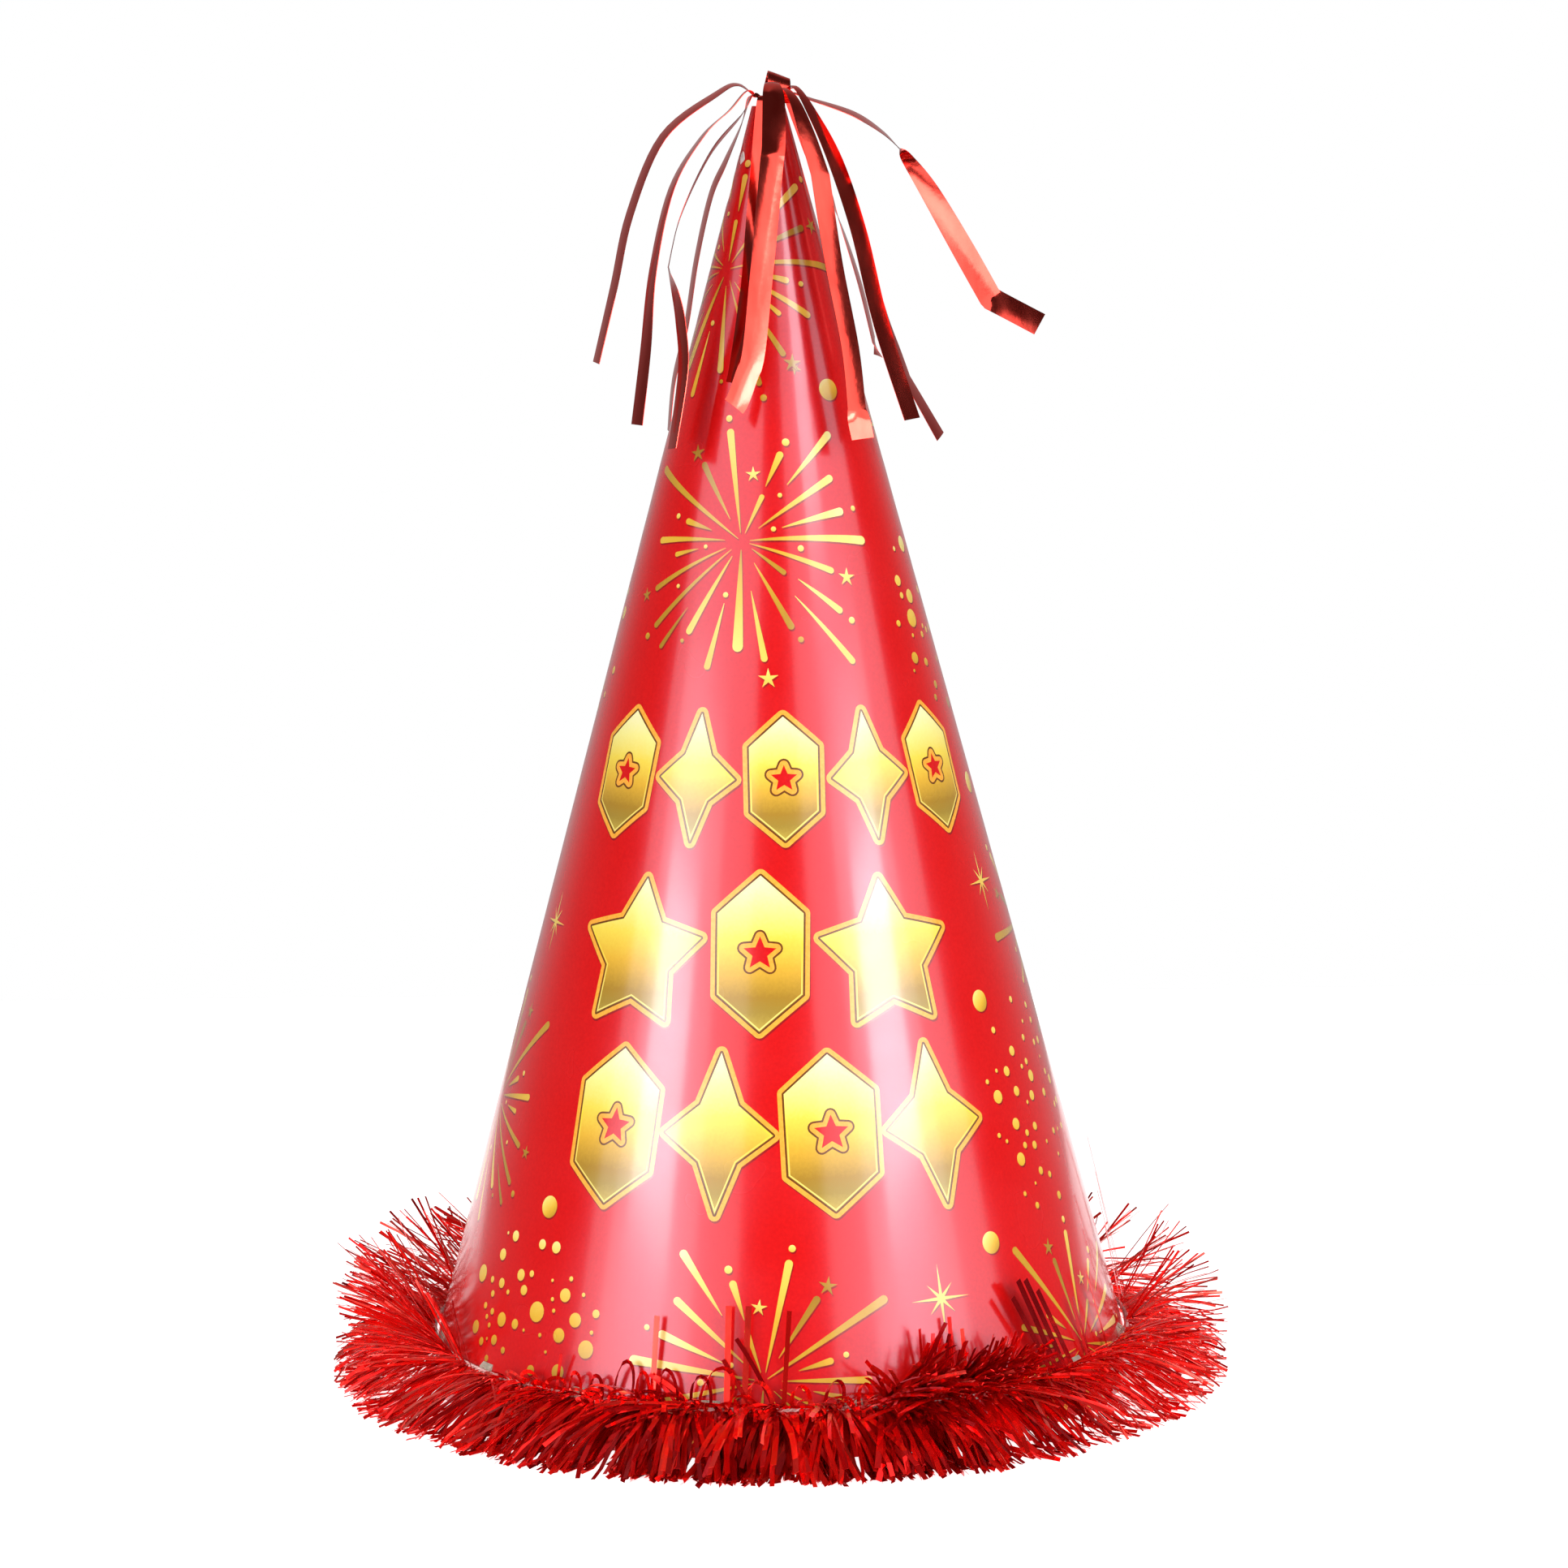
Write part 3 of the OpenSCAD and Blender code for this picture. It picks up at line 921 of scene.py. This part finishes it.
# %% Grow the strands that stand up
upper = []
for low, high, count, rise, length, droop in (
        (-180, 180, 320, 10, 23, 20), (180, 298, 300, 30, 26, 14), (62, 180, 150, 22, 25, 14),
        (180, 286, 80, 46, 24, 6), (74, 180, 40, 44, 22, 6), (17, 40, 230, 46, 16, 26),
        (42, 78, 130, 20, 14, 30), (19, 38, 70, 70, 14, 12), (-98, -62, 70, 46, 20, 12),
        (-50, 80, 300, 20, 6, 50)):
    turns, lean, own_rise = tufts(count, 6, low, high, 0.8, 25, 10)
    n = len(turns)
    turns = (turns + 180) % 360 - 180
    upper.append(grow(turns, rise + own_rise, lean, dice.normal(length, 2.2, n),
                      droop + dice.normal(0, 6, n), 0.8 * strand_widths(turns),
                      strand_tones_with_side_sheen(turns), dice.uniform(10, 100, n)))
add_strips("tinsel_upper", upper, tinsel_foil, "root", "tinsel_foil")
print(sum(len(batch[0]) for batch in upper), "strands stand up")

# %% [markdown]
# ## Loops and strays
# In front the garland is pulled thin, and a few strips stick up alone or curl back to the
# thread in small loops. They catch the light and are easy to see, so they are placed one
# by one. More small loops, placed by chance, hide the thread between them.

# %% Place the loops and the strays one by one
def wall_point(turn, height, off):
    outward, _ = ring_frame(np.array([turn]))
    return outward[0] * (BRIM_R - SLOPE * height + off) + np.array([0, 0, height])


def stray(turn, lean, length, width, tone, off, bend):
    """A strip that stands against the card, leaning sideways by lean degrees."""
    points = []
    for k in range(9):
        share = k / 8
        slant = math.radians(lean + bend * share)
        height = CORE_Z + length * share * math.cos(slant)
        here = turn + math.degrees(length * share * math.sin(slant) / (BRIM_R - SLOPE * height))
        points.append(wall_point(here, height, off + 1.5 * share))
    path = np.array(points)[None]
    _, sideways = ring_frame(np.array([turn]))
    direction = path_directions(path)
    across = unit(sideways[:, None] - (sideways[:, None] * direction).sum(-1, keepdims=True) * direction)
    return path, across, np.full((1, 9), width), 0.05, np.array([tone])


def curl_loop(turn, wide, tall, width, tone, skew):
    """A strip that leaves the thread, bends over and comes back to it."""
    points = []
    for k in range(13):
        angle = math.pi * k / 12
        height = 11.5 + tall * math.sin(angle)
        along = -wide / 2 * math.cos(angle) * (1 + 0.35 * math.sin(angle)) + skew * math.sin(angle)
        here = turn + math.degrees(along / BRIM_R)
        points.append(wall_point(here, height, 1.6 + 1.2 * math.sin(angle)))
    path = np.array(points)[None]
    outward, _ = ring_frame(np.array([turn]))
    direction = path_directions(path)
    slanted = 0.5 * outward[:, None] + np.array([0.5, 0.1, 0.6])
    across = unit(slanted - (slanted * direction).sum(-1, keepdims=True) * direction)
    return path, across, np.full((1, 13), width), 0.05, np.array([tone])


# turn, lean, length, width, tone, distance off the card, bend
STANDING = [(-20.5, 0, 20, 1.3, 0.7, 1.2, 0), (-8.5, 0, 23, 1.4, 0.75, 1.2, 0),
            (-5.8, 2, 23, 1.4, 0.75, 1.2, 0), (0.3, 4, 22, 1.1, 0.5, 1.2, 0),
            (-1, -22, 18, 1.0, 0.1, 1.2, -6), (-4.5, -30, 13, 0.9, 0.2, 1.2, 0),
            (-14, -38, 11, 1.0, 0.6, 1.2, -14), (-16, -34, 10, 0.9, 0.15, 1.2, -10),
            (28, 2, 18, 1.0, 0.35, 1.2, 0), (30.5, 0, 15, 1.0, 0.8, 1.2, 0),
            (24, 6, 15, 1.0, 0.1, 1.2, 0), (48.5, -19, 25, 1.7, 0.0, 3.2, 0),
            (50.2, -20, 25, 1.7, 0.0, 3.6, 0), (52.5, -22, 22, 1.6, 0.05, 3.2, 0),
            (47.4, -24, 22, 1.5, 0.05, 2.8, 0), (78, 4, 26, 0.9, 0.5, 2.0, 0),
            (82, -3, 34, 0.8, 0.2, 2.2, 0), (86, 8, 36, 0.8, 0.3, 2.0, 0),
            (90, 2, 44, 0.7, 0.2, 2.4, 0), (91, -2, 47, 0.7, 0.2, 2.6, 0),
            (67, -12, 20, 0.9, 0.3, 1.2, 0), (60, -14, 16, 0.9, 0.1, 1.2, 0),
            (-38, 6, 9, 0.9, 0.2, 1.2, 0), (-62, -40, 16, 0.35, 0.1, 2.0, 0),
            (-58, -50, 20, 0.3, 0.1, 2.5, 0)]
# turn, width of the loop, its height, width of the strip, tone, skew
LOOPED = [(-30, 3, 5, 1.2, 0.05, 0), (-25.5, 4.5, 9, 1.2, 0.05, 1), (-22, 3, 7, 1.2, 0.5, 0),
          (-17.5, 4, 8, 1.1, 0.05, -1), (-10.5, 7, 9, 1.2, 0.3, 2), (-12.5, 4.5, 7, 1.1, 0.0, 0),
          (-3, 5, 6, 1.2, 0.8, -1), (3, 4, 5, 1.2, 0.5, 0), (8, 4, 6, 1.1, 0.05, 1),
          (13, 3, 5, 1.1, 0.6, 0), (-34, 3, 5, 1.1, 0.5, 0)]
strays = [stray(*row) for row in STANDING] + [curl_loop(*row) for row in LOOPED]
for k in range(46):
    turn = -46 + 2.0 * k
    strays.append(curl_loop(turn + chance.uniform(-1, 1), chance.uniform(3, 8), chance.uniform(0.6, 3.2),
                            chance.uniform(0.7, 1.0), chance.random(), chance.uniform(-2, 2)))
add_strips("tinsel_strays", strays, tinsel_foil, "root", "tinsel_foil")
print(len(strays), "loops and strays")

# %% [markdown]
# ## The garland's thread
# The thread is two plies twisted round each other. Each ply is a thin tube that winds
# about the middle of the thread as the thread runs round the brim, and closes on itself
# after a whole number of twists.

# %% Twist the two plies
TWISTS = 150
PER_TWIST = 10


def ply(phase):
    count = TWISTS * PER_TWIST
    turn = np.arange(count) * math.tau / count
    twist = np.arange(count) * math.tau / PER_TWIST + phase
    out = np.stack((np.sin(turn), -np.cos(turn), np.zeros(count)), -1)
    up = np.array([0, 0, 1.0])
    middle = (out * (CORE_RING_R + 0.29 * np.cos(twist))[:, None]
              + up * (CORE_Z + 0.29 * np.sin(twist))[:, None])
    rings = []
    for k in range(7):
        angle = math.tau * k / 7
        rings.append(middle + 0.31 * (out * math.cos(angle) + up * math.sin(angle)))
    return np.stack(rings, 1).reshape(-1, 3), count


thread_points, thread_faces = [], []
for phase in (0, math.pi):
    points, count = ply(phase)
    shift = len(thread_points) and len(thread_points[0])
    for s in range(count):
        for k in range(7):
            a, b = 7 * s + k, 7 * s + (k + 1) % 7
            c, d = 7 * ((s + 1) % count) + k, 7 * ((s + 1) % count) + (k + 1) % 7
            thread_faces.append((a + shift, c + shift, d + shift, b + shift))
    thread_points.append(points)
thread_mesh = bpy.data.meshes.new("tinsel_thread")
thread_mesh.from_pydata((np.vstack(thread_points) * MM).tolist(), [], thread_faces)
thread_mesh.polygons.foreach_set("use_smooth", [True] * len(thread_faces))
thread_yarn, shader, nodes, links = new_finish("thread_yarn")
fuzz = add_grain(nodes, links, 1500, 3)
links.new(add_colours(nodes, links, fuzz, [(0.3, (0.50, 0.22, 0.20)), (0.7, (0.78, 0.52, 0.50))]),
          shader["Base Color"])
links.new(add_relief(nodes, links, fuzz, 0.0001), shader["Normal"])
shader["Roughness"].default_value = 0.4
thread_mesh.materials.append(thread_yarn)
add_piece("tinsel_thread", thread_mesh, "root", "core_thread", "tinsel_core")
print("thread of two plies,", TWISTS, "twists round the brim")

# %% [markdown]
# ## The tassel
# Six foil ribbons are folded in half and pushed down into the tip, so twelve tails hang out
# and one fold stands up. Each tail has its own hinge in the frame, so each is its own
# piece and rides on its own body. A tail hangs in an upright plane that points its own way.
# We give each a route of a few stations: distance from the middle, height below the tip,
# how far the ribbon is turned about its own line, and its width there.

# %% List the tails' routes
# turn from the front, sideways stray at the end, how far the middle stands out, then
# (distance, drop, roll, width) by station. A station that is written twice is a crease.
TAILS = {
    "streamer_01": (-90, 0, 0.1, [(3, -2, 0, 2), (7, -5, -12, 3), (12, -3, -18, 4.2),
        (25, 7, -20, 5.2), (33, 25, -20, 5.5), (37, 42, -20, 5.5), (41.5, 60, -18, 5.5)]),
    "streamer_02": (-66, 0, 0.1, [(3, -2, 0, 1.2), (5.5, -3.5, 6, 1.9), (10, 1, 10, 3.3),
        (17, 7, 10, 5.2), (25, 19, 8, 5.5), (30, 38, 4, 5.5), (32.2, 57, -4, 5.5),
        (34.6, 74, -6, 5.5)]),
    "streamer_03": (-43, 0, 0.1, [(3, -2, 10, 1.2), (5.5, -2.5, 24, 1.7), (9, 2, 38, 2.7),
        (20, 11, 44, 4.6), (30, 25, 44, 5.2), (34.5, 37, 44, 5.2), (34.5, 37, 44, 5.2),
        (32.2, 43, 26, 5.3), (30.6, 50, 20, 5.3), (30, 61, 20, 5.3), (34, 79, 26, 5.3)]),
    "streamer_04": (-116, 0, 0.1, [(3, -2, 0, 2), (5, -2, -12, 3), (7, 4, -26, 4),
        (11.5, 13, -36, 5), (15.5, 21, -38, 5.2), (19.5, 36, -38, 5.3), (22.5, 52, -38, 5.3),
        (26, 65, -36, 5.3), (27.5, 77, -34, 5.3)]),
    "streamer_05": (8, -13, 0.28, [(3, -3, 0, 2), (6, -5.2, 0, 3.2), (10, -2.6, 0, 5),
        (14, 3.6, 0, 5.5), (18, 11.6, 0, 5.5), (18, 11.6, 0, 5.5), (20.4, 23, -4, 5.5),
        (24, 40, -8, 5.5), (28.2, 60, -12, 5.5), (28.2, 60, -12, 5.5), (30.2, 69, -14, 5.5)]),
    "streamer_06": (-12, -4, 0.1, [(3, -2, 0, 2), (5, -1.8, 0, 3), (7, 4, 0, 3.6), (10, 14, 10, 4),
        (14.5, 29, 24, 4.8), (17.5, 42, 34, 5.3), (17.5, 42, 34, 5.3), (21.8, 54, 38, 5.3),
        (24, 64, 38, 5.3)]),
    "streamer_07": (38, 0, 0.08, [(3, -2, 0, 1.2), (6, -4, 0, 1.8), (10, -1, 0, 3.1),
        (14.5, 6.5, 0, 4.7), (19.4, 16.2, 0, 5.5), (19.4, 16.2, 0, 5.5), (24, 36, -3, 5.5),
        (30, 56, -4, 5.5), (32.2, 70, -2, 5.5), (32.2, 70, -2, 5.5), (33, 72.8, 18, 5.5),
        (34.4, 77, 18, 5.5)]),
    "streamer_08": (60, 0, 0.05, [(3, -2, 0, 1.2), (7, -4.5, 4, 2.1), (12, 2, 10, 3.7),
        (18, 13, 13, 5.3), (24, 29, 13, 5.5), (28.5, 46, 13, 5.5), (32, 57, 13, 5.5),
        (38, 73, 13, 5.5)]),
    "streamer_09": (131, 0, 0.1, [(3, -2, 0, 2), (5.5, -3, 0, 3), (9.5, 4, 0, 4), (15, 14, 0, 5),
        (22, 27, 40, 5.3), (28.5, 42, 50, 5.3), (33, 56, 50, 5.3), (33, 56, 50, 5.3),
        (34.5, 60, 20, 5.3)]),
    "streamer_10": (105, 0, 0.1, [(3, -2, 0, 2), (6.5, -4, 6, 3), (12, 4, 16, 4.4),
        (18.5, 18, 28, 5.3), (24, 36, 34, 5.5), (28, 50, 36, 5.5), (31.5, 59, 34, 5.5),
        (33.8, 65, 32, 5.5), (33.8, 65, 32, 5.5), (42, 79, 38, 5.5)]),
    "streamer_11": (82, 0, 0.1, [(3, -2, 6, 1.2), (5.5, -3, 10, 1.6), (10, -1.5, 12, 2.6),
        (20, 2, 12, 4.8), (27, 6.4, 4, 4.8), (31, 10.3, -6, 3.6), (31, 10.3, -6, 3.6),
        (32.8, 12.6, -58, 3.4), (38, 20.2, -74, 4.8), (46, 34, -80, 5.5), (52.4, 45.4, -82, 5.5),
        (52.4, 45.4, -82, 5.5), (54, 46.3, -106, 5.5), (64, 51.6, -106, 5.5)]),
    "streamer_12": (172, 0, 0.1, [(3, -2, 0, 2), (6, -4, 0, 3.6), (10, 1, 0, 4.4), (16, 14, 4, 5.4),
        (22, 31, 8, 5.5), (27, 48, 4, 5.5), (31, 72, 0, 5.5)]),
}
print(len(TAILS), "tails")

# %% Hang the tails
PER_SPAN = 7
RIBBON_THICK = 0.12


def smooth_route(stations, per_span):
    """A soft curve through the stations, by the Catmull-Rom rule, broken at creases."""
    for k in range(1, len(stations)):
        if stations[k] == stations[k - 1]:
            before = smooth_route(stations[:k], per_span)
            return np.vstack((before[:-1], smooth_route(stations[k:], per_span)))
    rows = np.array(stations, float)
    made = []
    for k in range(len(rows) - 1):
        a, b, c, d = rows[max(k - 1, 0)], rows[k], rows[k + 1], rows[min(k + 2, len(rows) - 1)]
        for step in range(per_span):
            t = step / per_span
            made.append(0.5 * (2 * b + (c - a) * t + (2 * a - 5 * b + 4 * c - d) * t * t
                               + (3 * b - a - 3 * c + d) * t ** 3))
    made.append(rows[-1])
    return np.array(made)


def smooth_but_creased(piece):
    mesh = piece.data
    mesh.polygons.foreach_set("use_smooth", [True] * len(mesh.polygons))
    mesh.set_sharp_from_angle(angle=math.radians(38))


for name, (turn, stray_by, cup, stations) in TAILS.items():
    route = smooth_route(stations, PER_SPAN)
    outward, sideways = (axis[0] for axis in ring_frame(np.array([turn])))
    along = np.linspace(0, 1, len(route))
    path = (outward * route[:, :1] + sideways * (stray_by * along ** 3)[:, None]
            + np.array([0, 0, 1.0]) * (CONE_H - route[:, 1:2]))
    direction = path_directions(path[None])[0]
    across = unit(sideways - (direction @ sideways)[:, None] * direction)
    normal = np.cross(direction, across)
    roll = np.radians(route[:, 2:3])
    across = across * np.cos(roll) + normal * np.sin(roll)
    tail = add_strips("ribbon_" + name[-2:], [(path[None], across[None], route[None, :, 3], RIBBON_THICK,
                                               np.array([0.5]))], ribbon_foil, name, "ribbon_foil", name,
                      columns=4, cup=cup)
    smooth_but_creased(tail)
    length = np.linalg.norm(np.diff(path, axis=0), axis=1).sum()
    print(f"{tail.name}: {length:.0f} mm long, {route[:, 3].max():.1f} mm wide")

# %% [markdown]
# ## The fold and the gathered middle
# Above the tip one ribbon shows its fold, a soft pointed loop. Inside the tip the ribbons
# are gathered into a pleated bundle, bound with wire and glued. The bundle is hardly seen,
# but from above its pleats show between the tails.

# %% Fold the loop
loop_outline = [(1.4, 1.3, 305), (1.7, 1.7, 308), (2.2, 1.3, 310.3), (2.5, 0, 311.2), (2.6, -1.5, 310.2),
                (2.6, -2.5, 308), (2.5, -3.2, 304.6)]
loop_path = smooth_route(loop_outline, 6)
loop_direction = path_directions(loop_path[None])[0]
loop_across = np.tile(unit(np.array([0.93, 0.0, -0.37]))[None], (len(loop_path), 1))
loop_across = unit(loop_across - (loop_across * loop_direction).sum(-1, keepdims=True) * loop_direction)
loop = add_strips("ribbon_fold", [(loop_path[None], loop_across[None], np.full((1, len(loop_path)), 5.4),
                                   RIBBON_THICK, np.array([0.5]))], ribbon_foil, "root", "ribbon_foil",
                  "ribbon_loop", columns=4, cup=0.1)
smooth_but_creased(loop)
print("fold", round(max(loop_path[:, 2]) - CONE_H, 1), "mm above the tip")

# %% Pleat the bundle
bundle_low, bundle_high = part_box("ribbon_bundle")
bundle_r = bundle_high.x / MM
rows, sides = 16, 72
bundle_points, bundle_faces = [], []
for row in range(rows + 1):
    share = row / rows
    height = (bundle_low.z + (bundle_high.z - bundle_low.z) * share) / MM
    for k in range(sides):
        angle = math.tau * k / sides + 0.5 * share
        pleat = 0.80 + 0.17 * math.cos(12 * angle) + 0.03 * math.cos(5 * angle + 9 * share)
        bundle_points.append((bundle_r * pleat * math.sin(angle) * MM,
                              -bundle_r * pleat * math.cos(angle) * MM,
                              height * MM))
for row in range(rows):
    for k in range(sides):
        a, b = row * sides + k, row * sides + (k + 1) % sides
        bundle_faces.append((a, b, b + sides, a + sides))
bundle_faces.append(tuple(reversed(range(sides))))
bundle_faces.append(tuple(range(rows * sides, (rows + 1) * sides)))
bundle_mesh = bpy.data.meshes.new("ribbon_gather")
bundle_mesh.from_pydata(bundle_points, [], bundle_faces)
bundle_mesh.materials.append(ribbon_foil)
smooth_but_creased(add_piece("ribbon_gather", bundle_mesh, "root", "ribbon_foil", "ribbon_bundle"))
print("bundle of", rows * sides, "pleat faces")

# %% [markdown]
# ## Glue and wire
# Hot glue dots hold the garland, a strip of glue closes the lap and a plug fixes the
# bundle. Their CAD shapes are right as they are, so they stay and only get a finish: milky
# glue that lets some light through, and bright drawn wire.

# %% Finish the glue and the wire
hot_glue, shader, nodes, links = new_finish("hot_glue")
cloud = add_grain(nodes, links, 300, 3)
links.new(add_colours(nodes, links, cloud, [(0.3, (0.70, 0.64, 0.50)), (0.7, (0.86, 0.82, 0.72))]),
          shader["Base Color"])
links.new(add_range(nodes, links, cloud, 0.22, 0.40), shader["Roughness"])
links.new(add_relief(nodes, links, cloud, 0.0001), shader["Normal"])
shader["Transmission Weight"].default_value = 0.6

tie_wire, shader, nodes, links = new_finish("tie_wire")
drawn = add_grain(nodes, links, 900, 2, (1, 1, 6))
links.new(add_colours(nodes, links, drawn, [(0.3, (0.50, 0.50, 0.50)), (0.7, (0.72, 0.71, 0.70))]),
          shader["Base Color"])
links.new(add_range(nodes, links, drawn, 0.20, 0.35), shader["Roughness"])
links.new(add_relief(nodes, links, drawn, 0.00002), shader["Normal"])
shader["Metallic"].default_value = 1.0

for node_name, finish in (("seam_glue_strip", hot_glue), ("brim_glue_dots", hot_glue),
                          ("tip_glue_plug", hot_glue), ("bundle_tie", tie_wire)):
    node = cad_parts[node_name]
    if not node.material_slots:
        node.data.materials.append(finish)
    for place in node.material_slots:
        place.material = finish
    print(node_name, "finished with", finish.name)

# %% [markdown]
# ## Floor and studio light
# The hat stands on a plain pale table, one metre square, that glows a little of itself so
# that it stays white. Two wide soft boxes stand in front, left and right, with a dark gap
# between them: they make the two pale bands down the card. Smaller lamps in front of the
# boxes give the white glare on the lower half and at the upper right. The camera sees white
# all round, but to the hat the room is grey, dim in front and lighter behind, so the foil
# gets deep darks.

# %% Lay the floor
floor_mesh = bpy.data.meshes.new("floor")
half = 0.5
floor_mesh.from_pydata([(-half, -half, 0), (half, -half, 0), (half, half, 0), (-half, half, 0)], [],
                       [(0, 1, 2, 3)])
floor = bpy.data.objects.new("floor", floor_mesh)
floor_paint, shader, nodes, links = new_finish("floor_paint")
dust = add_grain(nodes, links, 30, 4)
links.new(add_colours(nodes, links, dust, [(0.3, (0.56, 0.56, 0.56)), (0.7, (0.60, 0.60, 0.60))]),
          shader["Base Color"])
shader["Roughness"].default_value = 0.6
shader["Specular IOR Level"].default_value = 0.1
shader["Emission Color"].default_value = (1, 1, 1, 1)
shader["Emission Strength"].default_value = 0.96
floor_mesh.materials.append(floor_paint)
bpy.context.scene.collection.objects.link(floor)
print("floor", 2 * half, "m square")

# %% Hang the soft boxes
def soft_box(name, azimuth, distance, height, wide, tall, glow, aim=0.15):
    """A lamp that far round from the front, in degrees, of that glow per square metre."""
    data = bpy.data.lights.new(name, "AREA")
    data.shape = "RECTANGLE"
    data.size = wide
    data.size_y = tall
    data.energy = glow * math.pi * wide * tall
    lamp = bpy.data.objects.new(name, data)
    turn = math.radians(azimuth)
    lamp.location = (distance * math.sin(turn), -distance * math.cos(turn), height)
    towards = Vector((0, 0, aim)) - lamp.location
    lamp.rotation_euler = towards.to_track_quat("-Z", "Y").to_euler()
    bpy.context.scene.collection.objects.link(lamp)


# name, turn from the front, distance, height, width, height of the lamp, glow
LAMPS = [("box_left", -44, 0.9, 0.55, 1.12, 1.1, 2.0), ("box_right", 50, 0.9, 0.55, 1.26, 1.1, 2.0),
         ("glow_left", -47, 0.85, 0.31, 0.52, 0.34, 2.0), ("glow_right", 49, 0.85, 0.31, 0.52, 0.34, 2.0),
         ("core_left", -49, 0.82, 0.31, 0.26, 0.14, 9), ("core_right", 49, 0.82, 0.33, 0.26, 0.14, 10),
         ("high_right", 40, 0.84, 0.68, 0.26, 0.22, 6), ("low_left", -36, 0.80, 0.08, 0.26, 0.12, 6),
         ("low_right", 40, 0.80, 0.08, 0.26, 0.12, 6)]
for lamp_row in LAMPS:
    soft_box(*lamp_row)
print(len(LAMPS), "lamps: two soft boxes and the small ones in front of them")

# %% Fill the studio with light
world = bpy.data.worlds.new("studio")
bpy.context.scene.world = world
world.use_nodes = True
nodes, links = world.node_tree.nodes, world.node_tree.links
sky = nodes["Background"]
place = nodes.new("ShaderNodeTexCoord")
split = nodes.new("ShaderNodeSeparateXYZ")
level = nodes.new("ShaderNodeVectorMath")
level.operation = "MULTIPLY"
level.inputs[1].default_value = (1, 1, 0)
links.new(place.outputs["Generated"], level.inputs[0])
flat_way = nodes.new("ShaderNodeVectorMath")
flat_way.operation = "NORMALIZE"
links.new(level.outputs["Vector"], flat_way.inputs[0])
links.new(flat_way.outputs["Vector"], split.inputs["Vector"])
from_behind = add_range(nodes, links, split.outputs["Y"], 0.0, 1.0, 0.0, 1.0)
shade = add_colours(nodes, links, from_behind, [(0, (0.07, 0.07, 0.07)), (0.5, (0.14, 0.14, 0.14)),
                                              (0.85, (0.32, 0.32, 0.32)), (0.98, (0.42, 0.42, 0.42))])
path = nodes.new("ShaderNodeLightPath")
mix = nodes.new("ShaderNodeMix")
mix.data_type = "RGBA"
grey_in, white_in = [socket for socket in mix.inputs if socket.type == "RGBA"]
links.new(shade, grey_in)
white_in.default_value = (1, 1, 1, 1)
links.new(path.outputs["Is Camera Ray"], mix.inputs["Factor"])
links.new([o for o in mix.outputs if o.type == "RGBA"][0], sky.inputs["Color"])
bpy.context.scene.view_settings.view_transform = "Standard"
print("white to the camera, grey to the hat")
